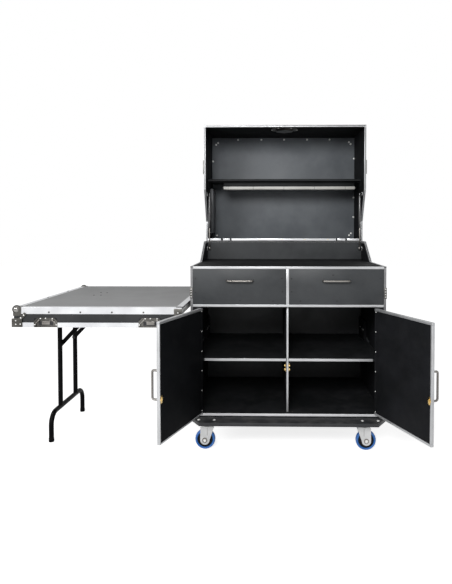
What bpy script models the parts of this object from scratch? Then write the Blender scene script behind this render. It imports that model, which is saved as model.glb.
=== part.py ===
"""Coffee bar flight case, open for use: body on castors, lid, drawers, doors and side table.

Sizes are in metres. They are given from the middle of the case's front face (X to the
right, Y to the back, Z up from the floor). An empty moves the whole thing so that the
part's origin is the middle of its footprint.
"""

from math import atan2, cos, hypot, pi, radians, sin

import bmesh
import bpy
from mathutils import Matrix, Vector

# Case body
HALF_WIDTH = 0.4815
DEPTH = 0.6907
WALL = 0.009
GAP = 0.0003
WORKTOP_Z = 0.903
HINGE_Z = 1.0145
SLOPE_Y = (0.3814, 0.572)
BACK_BOARD_TOP = 1.008
BASE_TOP = 0.171
DECK_Z = (0.704, 0.7147)
SHELF_Z = (0.431, 0.443)
SHELF_FRONT = 0.0165
DIVIDER_FRONT = 0.030
CUPBOARD_DIVIDER_X = (-0.0088, 0.0033)
DRAWER_DIVIDER_X = (-0.0103, 0.0058)
INNER = HALF_WIDTH - WALL
BACK_BOARD_Y = DEPTH - 0.010
HINGE_CLEARANCE = 0.001
DRAWER_PLAY = (0.0005, 0.0027)

# Carrying dishes pressed into the side walls
DISH_Y = (0.495, 0.655)
DISH_Z = (0.427, 0.553)
DISH_DEPTH = 0.022
DISH_SHEET = 0.002
GRIP_PIVOT_Z = 0.522
GRIP_DROP = 0.048
GRIP_Y = (0.512, 0.638)
GRIP_RADIUS = 0.0045
GRIP_BEND = 0.012
NOTCH_MARGIN = 0.010

# Dolly board and castors
DOLLY_Z = (0.1365, 0.1543)
DOLLY_FRONT = -0.0845
DOLLY_CORNER = (0.0495, 0.080)
WHEEL_RADIUS = 0.050
WHEEL_WIDTH = 0.036
CASTOR_X = {"left": -0.397, "right": 0.371}
CASTOR_Y = (-0.010, 0.620)
TRAIL = 0.012
PLATE_Z = (0.1322, 0.1362)
PLATE_HALF = (0.050, 0.0425)
RACE_RADIUS = 0.027
RACE_Z = 0.1207
FORK_TOP = 0.1204
FORK_HALF = 0.0255
FORK_CROWN = (0.0345, 0.020)
FORK_END = 0.0225
FORK_CLEARANCE = 0.004
AXLE_RADIUS = 0.005
AXLE_PROUD = 0.003
HUB_RADIUS = 0.015
HUB_PROUD = 0.0025
RIM_RADII = (0.017, 0.037, 0.040, 0.046)
DISC_SUNK = 0.004

# Lid, hinged along the top of the back board and standing open at a right angle
LID_DEPTH = 0.2933
LID_FRONT_WALL = 0.0125
LID_TOP_WALL = 0.0099
LID_RIM_GAP = 0.0007
LID_SHELF_Z = (1.384, 1.396)
LID_SHELF_Y = 0.700
LID_SHELF_LIP = (0.002, 1.348)
LIGHT_X = (-0.377, 0.4386)
LIGHT_Y = (0.720, 0.745, 0.775, 0.800)
LIGHT_Z = (1.333, 1.352)
DUCT = (0.4508, 0.830, 1.061)
HINGE_RAIL = (0.459, 0.0055, 1.0295)
STRUT_X = 0.4585
STRUT_TOP = (0.660, 1.300)
STRUT_BOTTOM = (0.665, 0.968)
STUD_HALF = 0.007
CYLINDER_LENGTH = 0.205
CYLINDER_RADIUS = 0.008
ROD_RADIUS = 0.0036
ROD_INSIDE = 0.185
STRUT_BORE = 0.100
SOCKET_RADIUS = 0.006

# Drawers and doors
DRAWER_Z = (0.7155, 0.8905)
DRAWER_BOX_Z = (0.722, 0.868)
DRAWER_LENGTH = 0.520
DRAWER_FRONT = 0.012
DRAWER_HANDLE_Z = 0.833
DRAWER_HANDLE_X = {"left": (-0.307, -0.170), "right": (0.1665, 0.306)}
DOOR_THICKNESS = 0.0145
DOOR_Z = (0.1725, 0.698)
DOOR_PIN_X = {"left": -0.4345, "right": 0.4378}
DOOR_FREE_X = {"left": -0.0040, "right": -0.0012}
DOOR_OPEN = {"left": -108.0, "right": 111.3}
DOOR_HANDLE_Z = (0.3546, 0.490)
DOOR_HANDLE_INSET = 0.022
DOOR_HANDLE_REACH = 0.034
DRAWER_HANDLE_REACH = 0.026
HANDLE_RADIUS = 0.005
HANDLE_BEND = 0.009
DRAWER_SIDE_GAP = 0.0125

# Side table: the front cover of the case, turned over on folding legs
TABLE_X = (-1.2905, -0.4996)
TABLE_Y = (-0.160, 0.803)
TABLE_Z = (0.6274, 0.7218)
TABLE_INNER_FOOT = 0.6893
BALL_RADIUS = 0.0195
BALL_INSET = 0.0103
BALL_DROP = 0.0106
LATCH_X = (-1.139, -0.647)
LATCH_WIDTH = 0.106
LATCH_TOP = 0.6695
LATCH_RECESS = 0.006
WING_Z = 0.648
WING_HALF = (0.019, 0.008)
WING_FRONT = (0.0045, 0.0025)
STEM_RADIUS = 0.004
LUG_HALF = (0.015, 0.016)
LUG_SHEET = 0.004
LUG_GAP = 0.0015
LEG_X = -1.207
LEG_PIVOT_Z = 0.688
LEG_Y = (0.190, 0.416)
FOOT_Y = (0.061, 0.530)
FOOT_RADIUS = 0.0125
UPRIGHT_RADIUS = 0.0122
UPRIGHT_OVER = 0.008
CROSSBAR_Z = 0.142
FOOT_BEND = 0.060
BRACE_PIVOT_Z = 0.470
BRACE_END = (-1.000, 0.690)
BRACE_HALF = 0.011
BRACE_SHEET = 0.003
BRACE_GAP = 0.0015

# Where the case's front middle stands from the middle of the whole footprint
FOOTPRINT_SHIFT = (0.3369, -0.2849)

FINISHES = {
    "black_laminate": ((0.030, 0.031, 0.034), 0.45, 0.0),
    "black_board": ((0.018, 0.018, 0.020), 0.60, 0.0),
    "aluminium": ((0.62, 0.63, 0.65), 0.32, 1.0),
    "zinc_steel": ((0.48, 0.48, 0.47), 0.38, 1.0),
    "satin_steel": ((0.50, 0.48, 0.44), 0.30, 1.0),
    "black_tube": ((0.012, 0.012, 0.013), 0.22, 0.0),
    "blue_rubber": ((0.023, 0.133, 0.578), 0.42, 0.0),
    "grey_plastic": ((0.22, 0.23, 0.24), 0.50, 0.0),
}


def clearScene():
    for item in list(bpy.data.objects):
        bpy.data.objects.remove(item, do_unlink=True)


def makeFinish(name):
    colour, roughness, metallic = FINISHES[name]
    finish = bpy.data.materials.new(name)
    finish.use_nodes = True
    shader = finish.node_tree.nodes["Principled BSDF"]
    shader.inputs["Base Color"].default_value = (*colour, 1.0)
    shader.inputs["Roughness"].default_value = roughness
    shader.inputs["Metallic"].default_value = metallic
    return finish


def makeRoot():
    root = bpy.data.objects.new("footprint_middle", None)
    bpy.context.scene.collection.objects.link(root)
    root.location = (*FOOTPRINT_SHIFT, 0.0)
    return root


def addPiece(name, shape, finish, pivot=(0, 0, 0), turn=0.0, smooth=False):
    """One named piece. Its origin is the pivot, and turn swings it about Z there."""
    bmesh.ops.translate(shape, verts=shape.verts, vec=-Vector(pivot))
    bmesh.ops.recalc_face_normals(shape, faces=shape.faces)
    mesh = bpy.data.meshes.new(name)
    shape.to_mesh(mesh)
    shape.free()
    if smooth:
        mesh.shade_smooth()
        mesh.set_sharp_from_angle(angle=radians(35))
    mesh.materials.append(finishes[finish].copy())
    piece = bpy.data.objects.new(name, mesh)
    bpy.context.scene.collection.objects.link(piece)
    piece.parent = root
    piece.location = pivot
    piece.rotation_euler.z = radians(turn)
    return piece


def boolean(piece, shape, operation):
    """Joins a shape to a piece or cuts it out; the shape stays as a hidden guide."""
    tool = addPiece(f"{piece.name}_{operation.lower()}", shape, "black_board")
    tool.hide_render = True
    tool.display_type = "WIRE"
    modifier = piece.modifiers.new(operation.title(), "BOOLEAN")
    modifier.operation = operation
    modifier.solver = "EXACT"
    modifier.object = tool


def box(low, high):
    shape = bmesh.new()
    middle = (Vector(low) + Vector(high)) / 2
    sides = Vector(high) - Vector(low)
    place = Matrix.Translation(middle) @ Matrix.Diagonal((*sides, 1))
    bmesh.ops.create_cube(shape, size=1, matrix=place)
    return shape


def prism(outline, axis, start, end):
    """An outline of points across an axis, pushed along that axis from start to end."""
    shape = bmesh.new()
    corners = []
    for first, second in outline:
        point = [first, second]
        point.insert("XYZ".index(axis), start)
        corners.append(shape.verts.new(point))
    face = shape.faces.new(corners)
    pushed = bmesh.ops.extrude_face_region(shape, geom=[face])["geom"]
    along = Vector([end - start if letter == axis else 0 for letter in "XYZ"])
    moved = [item for item in pushed if isinstance(item, bmesh.types.BMVert)]
    bmesh.ops.translate(shape, verts=moved, vec=along)
    return shape


def openBox(low, high, wall):
    """A box with an open top, its walls and floor of one thickness."""
    shape = box(low, high)
    top = max(shape.faces, key=lambda face: face.calc_center_median().z)
    bmesh.ops.inset_region(shape, faces=[top], thickness=wall)
    sunk = bmesh.ops.extrude_face_region(shape, geom=[top])["geom"]
    bmesh.ops.delete(shape, geom=[top], context="FACES_ONLY")
    moved = [item for item in sunk if isinstance(item, bmesh.types.BMVert)]
    bmesh.ops.translate(shape, verts=moved, vec=(0, 0, -(high[2] - low[2] - wall)))
    return shape


def cylinder(start, end, radius, sides=16):
    shape = bmesh.new()
    along = Vector(end) - Vector(start)
    turn = along.to_track_quat("Z", "Y").to_matrix().to_4x4()
    place = Matrix.Translation((Vector(start) + Vector(end)) / 2) @ turn
    bmesh.ops.create_cone(
        shape, cap_ends=True, segments=sides, radius1=radius, radius2=radius,
        depth=along.length, matrix=place,
    )
    return shape


def tube(path, radius, sides=8):
    """A round bar along a flat path of points, with closed ends."""
    shape = bmesh.new()
    points = [Vector(point) for point in path]
    flat = (points[1] - points[0]).cross(points[-1] - points[len(points) // 2])
    if flat.length < 1e-9:
        flat = (points[1] - points[0]).orthogonal()
    flat.normalize()
    rings = []
    for index, point in enumerate(points):
        before = points[max(index - 1, 0)]
        after = points[min(index + 1, len(points) - 1)]
        side = (after - before).normalized().cross(flat)
        ring = []
        for step in range(sides):
            angle = 2 * pi * step / sides
            ring.append(shape.verts.new(point + radius * (cos(angle) * flat + sin(angle) * side)))
        rings.append(ring)
    for ring, following in zip(rings, rings[1:]):
        for step in range(sides):
            after = (step + 1) % sides
            shape.faces.new((ring[step], ring[after], following[after], following[step]))
    shape.faces.new(rings[0])
    shape.faces.new(rings[-1])
    return shape


def archPath(first, second, reach, bend, steps=4):
    """A flat arch between two feet: straight legs, a straight top, two round bends."""
    first, second, reach = Vector(first), Vector(second), Vector(reach)
    across = (second - first).normalized()
    up = reach.normalized()
    height = reach.length
    path = [first]
    for foot, inward in ((first, across), (second, -across)):
        bends = []
        for step in range(steps + 1):
            angle = pi / 2 * step / steps
            rise = height - bend + bend * sin(angle)
            bends.append(foot + up * rise + inward * bend * (1 - cos(angle)))
        path += bends if foot is first else bends[::-1]
    return path + [second]


def lathe(profile, middle, axis, sides):
    """A closed profile of (distance from axis, place along axis) turned all the way round."""
    shape = bmesh.new()
    rings = []
    for step in range(sides):
        angle = 2 * pi * step / sides
        ring = []
        for radius, along in profile:
            around = (radius * cos(angle), radius * sin(angle))
            point = (around[0], along, around[1]) if axis == "Y" else (*around, along)
            ring.append(shape.verts.new(Vector(middle) + Vector(point)))
        rings.append(ring)
    for step, ring in enumerate(rings):
        following = rings[(step + 1) % sides]
        for index in range(len(profile)):
            after = (index + 1) % len(profile)
            shape.faces.new((ring[index], ring[after], following[after], following[index]))
    return shape


def sideSign(side):
    return -1 if side == "left" else 1


def between(side, inner, outer):
    """The X span from inner to outer distance on one side, low value first."""
    return sorted((sideSign(side) * inner, sideSign(side) * outer))


def makeSideWall(side):
    outline = [
        (0, DOLLY_Z[1] + GAP), (DEPTH, DOLLY_Z[1] + GAP), (DEPTH, HINGE_Z),
        (SLOPE_Y[1], HINGE_Z), (SLOPE_Y[0], WORKTOP_Z), (0, WORKTOP_Z),
    ]
    low, high = between(side, INNER, HALF_WIDTH)
    wall = addPiece(f"side_{side}", prism(outline, "X", low, high), "black_laminate")
    back = HALF_WIDTH - DISH_DEPTH
    low, high = between(side, back - DISH_SHEET, INNER + WALL / 2)
    bulge = box(
        (low, DISH_Y[0] - DISH_SHEET, DISH_Z[0] - DISH_SHEET),
        (high, DISH_Y[1] + DISH_SHEET, DISH_Z[1] + DISH_SHEET),
    )
    boolean(wall, bulge, "UNION")
    low, high = between(side, back, HALF_WIDTH + WALL)
    boolean(wall, box((low, DISH_Y[0], DISH_Z[0]), (high, DISH_Y[1], DISH_Z[1])), "DIFFERENCE")
    boolean(wall, strutStud(side, STRUT_BOTTOM), "UNION")


def strutStud(side, place):
    """The bracket that stands from a wall to a strut's end eye."""
    low, high = between(side, STRUT_X + CYLINDER_RADIUS + GAP, INNER + WALL / 2)
    return box(
        (low, place[0] - STUD_HALF, place[1] - STUD_HALF),
        (high, place[0] + STUD_HALF, place[1] + STUD_HALF),
    )


def makeSideGrip(side):
    x = sideSign(side) * (HALF_WIDTH - DISH_DEPTH / 2)
    path = archPath(
        (x, GRIP_Y[0], GRIP_PIVOT_Z), (x, GRIP_Y[1], GRIP_PIVOT_Z), (0, 0, -GRIP_DROP), GRIP_BEND
    )
    pivot = (x, sum(GRIP_Y) / 2, GRIP_PIVOT_Z)
    addPiece(f"side_grip_{side}", tube(path, GRIP_RADIUS), "zinc_steel", pivot, smooth=True)


def makeShell():
    wide = INNER - GAP
    rear = BACK_BOARD_Y - GAP
    addPiece(
        "back_board",
        box((-wide, BACK_BOARD_Y, DOLLY_Z[1] + GAP), (wide, DEPTH, BACK_BOARD_TOP)),
        "black_laminate",
    )
    addPiece("base_floor", box((-wide, 0, DOLLY_Z[1] + GAP), (wide, rear, BASE_TOP)), "black_board")
    addPiece(
        "worktop",
        box((-wide, 0, WORKTOP_Z - WALL), (wide, rear, WORKTOP_Z)),
        "black_laminate",
    )
    addPiece("drawer_deck", box((-wide, 0, DECK_Z[0]), (wide, rear, DECK_Z[1])), "black_board")
    low, high = DRAWER_DIVIDER_X
    addPiece(
        "drawer_divider",
        box((low, 0, DECK_Z[1] + GAP), (high, rear, WORKTOP_Z - WALL - GAP)),
        "black_board",
    )
    low, high = CUPBOARD_DIVIDER_X
    addPiece(
        "cupboard_divider",
        box((low, DIVIDER_FRONT, BASE_TOP + GAP), (high, rear, DECK_Z[0] - GAP)),
        "black_board",
    )
    for side in ("left", "right"):
        makeSideWall(side)
        makeSideGrip(side)
        makeShelf(side, rear)
        makePost(side)


def makeShelf(side, rear):
    """A shelf that reaches the side wall and steps back round the carrying dish."""
    sign = sideSign(side)
    outer = sign * (INNER - GAP)
    inner = CUPBOARD_DIVIDER_X[0] - GAP if side == "left" else CUPBOARD_DIVIDER_X[1] + GAP
    step = sign * (HALF_WIDTH - DISH_DEPTH - 2 * DISH_SHEET)
    notch = (DISH_Y[0] - NOTCH_MARGIN, DISH_Y[1] + NOTCH_MARGIN)
    outline = [
        (inner, SHELF_FRONT), (outer, SHELF_FRONT), (outer, notch[0]), (step, notch[0]),
        (step, notch[1]), (outer, notch[1]), (outer, rear), (inner, rear),
    ]
    addPiece(f"shelf_{side}", prism(outline, "Z", *SHELF_Z), "black_board")


def makePost(side):
    """The filler beside a door, which its piano hinge is screwed to."""
    low, high = between(side, abs(DOOR_PIN_X[side]) + HINGE_CLEARANCE, INNER - GAP)
    addPiece(
        f"post_{side}",
        box((low, 0, BASE_TOP + GAP), (high, DOOR_THICKNESS, DECK_Z[0] - GAP)),
        "black_laminate",
    )


def makeDolly():
    cut = HALF_WIDTH - DOLLY_CORNER[0]
    shoulder = DOLLY_FRONT + DOLLY_CORNER[1]
    outline = [
        (-cut, DOLLY_FRONT), (cut, DOLLY_FRONT), (HALF_WIDTH, shoulder), (HALF_WIDTH, DEPTH),
        (-HALF_WIDTH, DEPTH), (-HALF_WIDTH, shoulder),
    ]
    addPiece("dolly_board", prism(outline, "Z", *DOLLY_Z), "black_board")
    for row, y in zip(("front", "rear"), CASTOR_Y):
        for side in ("left", "right"):
            makeCastor(f"{row}_{side}", CASTOR_X[side], y, sideSign(side) * TRAIL)


def makeCastor(name, x, y, trail):
    plate = addPiece(
        f"castor_plate_{name}",
        box(
            (x - PLATE_HALF[0], y - PLATE_HALF[1], PLATE_Z[0]),
            (x + PLATE_HALF[0], y + PLATE_HALF[1], PLATE_Z[1]),
        ),
        "zinc_steel",
    )
    race = cylinder((x, y, RACE_Z), (x, y, sum(PLATE_Z) / 2), RACE_RADIUS, 20)
    boolean(plate, race, "UNION")
    axle = (x + trail, y, WHEEL_RADIUS)
    fork = addPiece(f"castor_fork_{name}", forkShape(x, y, axle), "zinc_steel", (x, y, FORK_TOP))
    inner = WHEEL_WIDTH / 2 + FORK_CLEARANCE
    roof = 2 * WHEEL_RADIUS + 2.5 * FORK_CLEARANCE
    slot = box((x - WHEEL_RADIUS, y - inner, 0), (x + WHEEL_RADIUS, y + inner, roof))
    boolean(fork, slot, "DIFFERENCE")
    end = FORK_HALF + AXLE_PROUD
    pin = cylinder((axle[0], y - end, axle[2]), (axle[0], y + end, axle[2]), AXLE_RADIUS, 12)
    boolean(fork, pin, "UNION")
    makeWheel(name, axle)


def forkShape(x, y, axle):
    """The fork's side outline: a wide crown that narrows to a round end at the axle."""
    wide, deep = FORK_CROWN
    outline = [(x + wide, FORK_TOP), (x + wide, FORK_TOP - deep)]
    steps = 8
    for step in range(steps + 1):
        angle = -pi * step / steps
        outline.append((axle[0] + FORK_END * cos(angle), axle[2] + FORK_END * sin(angle)))
    outline += [(x - wide, FORK_TOP - deep), (x - wide, FORK_TOP)]
    return prism(outline, "Y", y - FORK_HALF, y + FORK_HALF)


def makeWheel(name, axle):
    half = WHEEL_WIDTH / 2
    hub = half + HUB_PROUD
    disc = half - DISC_SUNK
    bore = AXLE_RADIUS + 2 * GAP
    near, far, tyre, shoulder = RIM_RADII
    profile = [
        (bore, -hub), (HUB_RADIUS, -hub), (near, -disc), (far, -disc), (tyre, -half),
        (shoulder, -half), (WHEEL_RADIUS, -half / 2), (WHEEL_RADIUS, half / 2), (shoulder, half),
        (tyre, half), (far, disc), (near, disc), (HUB_RADIUS, hub), (bore, hub),
    ]
    wheel = lathe(profile, axle, "Y", 24)
    addPiece(f"wheel_{name}", wheel, "blue_rubber", axle, smooth=True)


def makeLid():
    """The lid as it stands open: its top is a back panel, its front wall is on top."""
    wide = INNER - GAP
    near = DEPTH + LID_RIM_GAP
    far = DEPTH + LID_DEPTH
    low = HINGE_Z + LID_RIM_GAP
    high = HINGE_Z + DEPTH
    rim = DEPTH - (HINGE_Z - WORKTOP_Z) + LID_RIM_GAP
    pivot = (0, DEPTH, HINGE_Z)
    addPiece(
        "lid_front",
        box((-wide, rim, high - LID_FRONT_WALL), (wide, far, high)),
        "black_laminate",
        pivot,
    )
    addPiece(
        "lid_top",
        box((-wide, far - LID_TOP_WALL, low + WALL + GAP), (wide, far, high - LID_FRONT_WALL - GAP)),
        "black_laminate",
        pivot,
    )
    addPiece("lid_rear", box((-wide, near, low), (wide, far, low + WALL)), "black_laminate", pivot)
    slope = [HINGE_Z + DEPTH - y for y in SLOPE_Y]
    outline = [
        (rim, high), (rim, slope[0]), (near, slope[1]), (near, low), (far, low), (far, high),
    ]
    for side in ("left", "right"):
        start, end = between(side, INNER, HALF_WIDTH)
        wall = addPiece(f"lid_{side}", prism(outline, "X", start, end), "black_laminate", pivot)
        boolean(wall, strutStud(side, STRUT_TOP), "UNION")
    inner = far - LID_TOP_WALL - GAP
    lip, foot = LID_SHELF_LIP
    profile = [
        (-wide, foot), (-wide + lip, foot), (-wide + lip, LID_SHELF_Z[0]),
        (wide - lip, LID_SHELF_Z[0]), (wide - lip, foot), (wide, foot),
        (wide, LID_SHELF_Z[1]), (-wide, LID_SHELF_Z[1]),
    ]
    addPiece("lid_shelf", prism(profile, "Y", LID_SHELF_Y, inner), "black_board", pivot)
    front, stemFront, stemBack, back = LIGHT_Y
    bottom, top = LIGHT_Z
    stemTop = LID_SHELF_Z[0] - GAP
    section = [
        (front, bottom), (back, bottom), (back, top), (stemBack, top), (stemBack, stemTop),
        (stemFront, stemTop), (stemFront, top), (front, top),
    ]
    addPiece("light_bar", prism(section, "X", *LIGHT_X), "grey_plastic", pivot)
    ductX, ductFront, ductFoot = DUCT
    duct = box((-wide, ductFront, ductFoot), (-ductX, inner, foot - lip))
    addPiece("cable_duct", duct, "grey_plastic", pivot)
    railEnd, railDeep, railTop = HINGE_RAIL
    rail = box((-wide, DEPTH - railDeep, low), (railEnd, DEPTH - GAP, railTop))
    addPiece("hinge_rail", rail, "aluminium", pivot)


def makeStrut(side):
    """A gas strut: a hollow cylinder hung from the lid and a rod that slides into it."""
    x = sideSign(side) * STRUT_X
    top = Vector((x, *STRUT_TOP))
    bottom = Vector((x, *STRUT_BOTTOM))
    down = (bottom - top).normalized()
    lean = atan2(down.y, -down.z)
    turn = Matrix.Translation(top) @ Matrix.Rotation(lean, 4, "X")
    bore = ROD_RADIUS + 2 * GAP
    radius, end = CYLINDER_RADIUS, -CYLINDER_LENGTH
    profile = [
        (0.0, radius), (radius * 0.6, radius * 0.75), (radius * 0.8, -radius * 1.25),
        (radius, -radius * 1.75), (radius, end), (bore, end), (bore, end + STRUT_BORE),
        (0.0, end + STRUT_BORE),
    ]
    shape = turned(profile, 14)
    bmesh.ops.transform(shape, matrix=turn, verts=shape.verts)
    addPiece(f"strut_cylinder_{side}", shape, "black_tube", top, smooth=True)
    end = -(bottom - top).length
    socket = SOCKET_RADIUS
    profile = [
        (0.0, -ROD_INSIDE), (ROD_RADIUS, -ROD_INSIDE), (ROD_RADIUS, end + 1.6 * socket),
        (socket, end + 1.2 * socket), (socket, end - socket), (0.0, end - socket),
    ]
    shape = turned(profile, 12)
    bmesh.ops.transform(shape, matrix=turn, verts=shape.verts)
    addPiece(f"strut_rod_{side}", shape, "satin_steel", bottom, smooth=True)


def turned(profile, sides):
    """A profile that starts and ends on the Z axis, turned into a closed round solid."""
    shape = bmesh.new()
    first = shape.verts.new((0, 0, profile[0][1]))
    last = shape.verts.new((0, 0, profile[-1][1]))
    rings = []
    for radius, z in profile[1:-1]:
        ring = []
        for step in range(sides):
            angle = 2 * pi * step / sides
            ring.append(shape.verts.new((radius * cos(angle), radius * sin(angle), z)))
        rings.append(ring)
    for step in range(sides):
        after = (step + 1) % sides
        shape.faces.new((first, rings[0][step], rings[0][after]))
        for ring, following in zip(rings, rings[1:]):
            shape.faces.new((ring[step], following[step], following[after], ring[after]))
        shape.faces.new((last, rings[-1][after], rings[-1][step]))
    return shape


def makeDrawer(side):
    sign = sideSign(side)
    middle = DRAWER_DIVIDER_X[0] if side == "left" else DRAWER_DIVIDER_X[1]
    low, high = sorted((middle + sign * DRAWER_PLAY[0], sign * (INNER - DRAWER_PLAY[1])))
    pivot = ((low + high) / 2, 0, DRAWER_Z[0])
    front = box((low, 0, DRAWER_Z[0]), (high, DRAWER_FRONT, DRAWER_Z[1]))
    addPiece(f"drawer_front_{side}", front, "black_laminate", pivot)
    tray = openBox(
        (low + DRAWER_SIDE_GAP, DRAWER_FRONT + GAP, DRAWER_BOX_Z[0]),
        (high - DRAWER_SIDE_GAP, DRAWER_LENGTH, DRAWER_BOX_Z[1]),
        WALL,
    )
    addPiece(f"drawer_box_{side}", tray, "black_board", pivot)
    first, second = DRAWER_HANDLE_X[side]
    first += HANDLE_RADIUS
    second -= HANDLE_RADIUS
    path = archPath(
        (first, -GAP, DRAWER_HANDLE_Z), (second, -GAP, DRAWER_HANDLE_Z),
        (0, -DRAWER_HANDLE_REACH, 0), HANDLE_BEND,
    )
    addPiece(f"drawer_handle_{side}", tube(path, HANDLE_RADIUS), "satin_steel", pivot, smooth=True)


def makeDoor(side):
    """Drawn shut in the front plane, then swung open about its hinge pin."""
    sign = sideSign(side)
    pin = DOOR_PIN_X[side]
    pivot = (pin, 0, DOOR_Z[0])
    low, high = sorted((pin - sign * HINGE_CLEARANCE, DOOR_FREE_X[side]))
    panel = box((low, 0, DOOR_Z[0]), (high, DOOR_THICKNESS, DOOR_Z[1]))
    addPiece(f"door_{side}", panel, "black_laminate", pivot, DOOR_OPEN[side])
    x = DOOR_FREE_X[side] + sign * DOOR_HANDLE_INSET
    low, high = DOOR_HANDLE_Z
    path = archPath(
        (x, -GAP, low + HANDLE_RADIUS), (x, -GAP, high - HANDLE_RADIUS),
        (0, -DOOR_HANDLE_REACH, 0), HANDLE_BEND,
    )
    handle = tube(path, HANDLE_RADIUS)
    addPiece(f"door_handle_{side}", handle, "satin_steel", pivot, DOOR_OPEN[side], smooth=True)


def ballShape(y, radius):
    shape = bmesh.new()
    place = Matrix.Translation((TABLE_X[0] + BALL_INSET, y, TABLE_Z[1] - BALL_DROP))
    bmesh.ops.create_uvsphere(shape, u_segments=16, v_segments=10, radius=radius, matrix=place)
    return shape


def makeTable():
    """The cover lies with its face up. Its wall beside the case is lower than the others."""
    left, right = TABLE_X
    near, far = TABLE_Y
    low, high = TABLE_Z
    inside = WALL + GAP
    balls = (near + BALL_INSET, far - BALL_INSET)
    front = addPiece(
        "table_front", box((left, near, low), (right, near + WALL, high)), "black_laminate"
    )
    rear = addPiece("table_rear", box((left, far - WALL, low), (right, far, high)), "black_laminate")
    end = addPiece(
        "table_left",
        box((left, near + inside, low), (left + WALL, far - inside, high)),
        "black_laminate",
    )
    addPiece(
        "table_right",
        box((right - WALL, near + inside, TABLE_INNER_FOOT), (right, far - inside, high)),
        "black_laminate",
    )
    top = addPiece(
        "table_top",
        box((left + inside, near + inside, high - WALL), (right - inside, far - inside, high)),
        "black_laminate",
    )
    for wall, y in ((front, balls[0]), (rear, balls[1])):
        boolean(wall, ballShape(y, BALL_RADIUS), "UNION")
        for board in (end, top):
            boolean(board, ballShape(y, BALL_RADIUS + 2 * GAP), "DIFFERENCE")
    for x in LATCH_X:
        recess = box(
            (x - LATCH_WIDTH / 2, near - WALL, low - WALL),
            (x + LATCH_WIDTH / 2, near + LATCH_RECESS, LATCH_TOP),
        )
        boolean(front, recess, "DIFFERENCE")
    reach = UPRIGHT_RADIUS + LUG_GAP
    for y in (LEG_Y[0] - reach - LUG_SHEET, LEG_Y[1] + reach):
        lug = box(
            (LEG_X - LUG_HALF[0], y, LEG_PIVOT_Z - LUG_HALF[1]),
            (LEG_X + LUG_HALF[0], y + LUG_SHEET, high - WALL / 2),
        )
        boolean(top, lug, "UNION")
    for name, x in zip(("outer", "inner"), LATCH_X):
        makeLatchWing(name, x)


def makeLatchWing(name, x):
    """The wing that is turned to draw a latch shut, on its stem in the recess."""
    floor = TABLE_Y[0] + LATCH_RECESS
    wide, tall = WING_HALF
    front, back = WING_FRONT
    wing = addPiece(
        f"latch_wing_{name}",
        box((x - wide, floor - front, WING_Z - tall), (x + wide, floor - back, WING_Z + tall)),
        "zinc_steel",
        (x, floor, WING_Z),
    )
    middle = floor - (front + back) / 2
    stem = cylinder((x, middle, WING_Z), (x, floor - GAP, WING_Z), STEM_RADIUS, 12)
    boolean(wing, stem, "UNION")


def makeLegs():
    pivot = (LEG_X, sum(LEG_Y) / 2, LEG_PIVOT_Z)
    path = archPath(
        (LEG_X, FOOT_Y[0], 0), (LEG_X, FOOT_Y[1], 0), (0, 0, CROSSBAR_Z), FOOT_BEND, 5
    )
    frame = addPiece("leg_frame", tube(path, FOOT_RADIUS, 12), "black_tube", pivot, smooth=True)
    for y in LEG_Y:
        end = (LEG_X, y, LEG_PIVOT_Z + UPRIGHT_OVER)
        upright = cylinder((LEG_X, y, CROSSBAR_Z), end, UPRIGHT_RADIUS, 14)
        boolean(frame, upright, "UNION")
    reach = UPRIGHT_RADIUS + BRACE_GAP
    makeBrace("front", LEG_Y[0] + reach)
    makeBrace("rear", LEG_Y[1] - reach - BRACE_SHEET)


def makeBrace(name, y):
    """A flat bar with round ends, from its pin on an upright to the tray."""
    run = Vector((BRACE_END[0] - LEG_X, BRACE_END[1] - BRACE_PIVOT_Z))
    lean = atan2(run.y, run.x)
    outline = []
    for middle, start in (((0, 0), pi / 2), ((hypot(*run), 0), -pi / 2)):
        for step in range(7):
            angle = start + pi * step / 6
            along = middle[0] + BRACE_HALF * cos(angle)
            across = BRACE_HALF * sin(angle)
            outline.append((
                LEG_X + along * cos(lean) - across * sin(lean),
                BRACE_PIVOT_Z + along * sin(lean) + across * cos(lean),
            ))
    pivot = (LEG_X, y, BRACE_PIVOT_Z)
    addPiece(f"brace_{name}", prism(outline, "Y", y, y + BRACE_SHEET), "black_tube", pivot)


clearScene()
finishes = {name: makeFinish(name) for name in FINISHES}
root = makeRoot()
makeShell()
makeDolly()
makeLid()
for side in ("left", "right"):
    makeStrut(side)
    makeDrawer(side)
    makeDoor(side)
makeTable()
makeLegs()
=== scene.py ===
import math

import bmesh
import bpy
from mathutils import Matrix, Vector


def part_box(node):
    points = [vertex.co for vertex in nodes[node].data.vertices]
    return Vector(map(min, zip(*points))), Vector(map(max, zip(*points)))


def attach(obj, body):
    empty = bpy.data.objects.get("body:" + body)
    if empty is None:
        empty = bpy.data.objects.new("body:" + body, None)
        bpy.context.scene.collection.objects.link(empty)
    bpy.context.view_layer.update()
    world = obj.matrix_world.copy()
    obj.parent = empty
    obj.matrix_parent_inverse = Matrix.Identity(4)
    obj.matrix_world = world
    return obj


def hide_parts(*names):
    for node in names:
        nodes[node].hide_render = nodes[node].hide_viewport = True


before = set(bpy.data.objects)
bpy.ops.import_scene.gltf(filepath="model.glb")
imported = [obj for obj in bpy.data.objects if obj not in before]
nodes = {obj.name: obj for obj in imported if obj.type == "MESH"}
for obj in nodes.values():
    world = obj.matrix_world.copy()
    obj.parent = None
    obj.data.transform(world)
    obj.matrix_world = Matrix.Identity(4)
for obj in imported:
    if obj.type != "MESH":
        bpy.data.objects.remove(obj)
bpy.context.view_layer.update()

# Places are given in metres from the middle of the case's front face, at floor level.
halfWidth = 0.4815
depth = 0.6907
inner = 0.4725
worktopZ = 0.903
hingeZ = 1.0145
slopeY = (0.3814, 0.572)
doorZ = (0.1725, 0.698)
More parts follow.
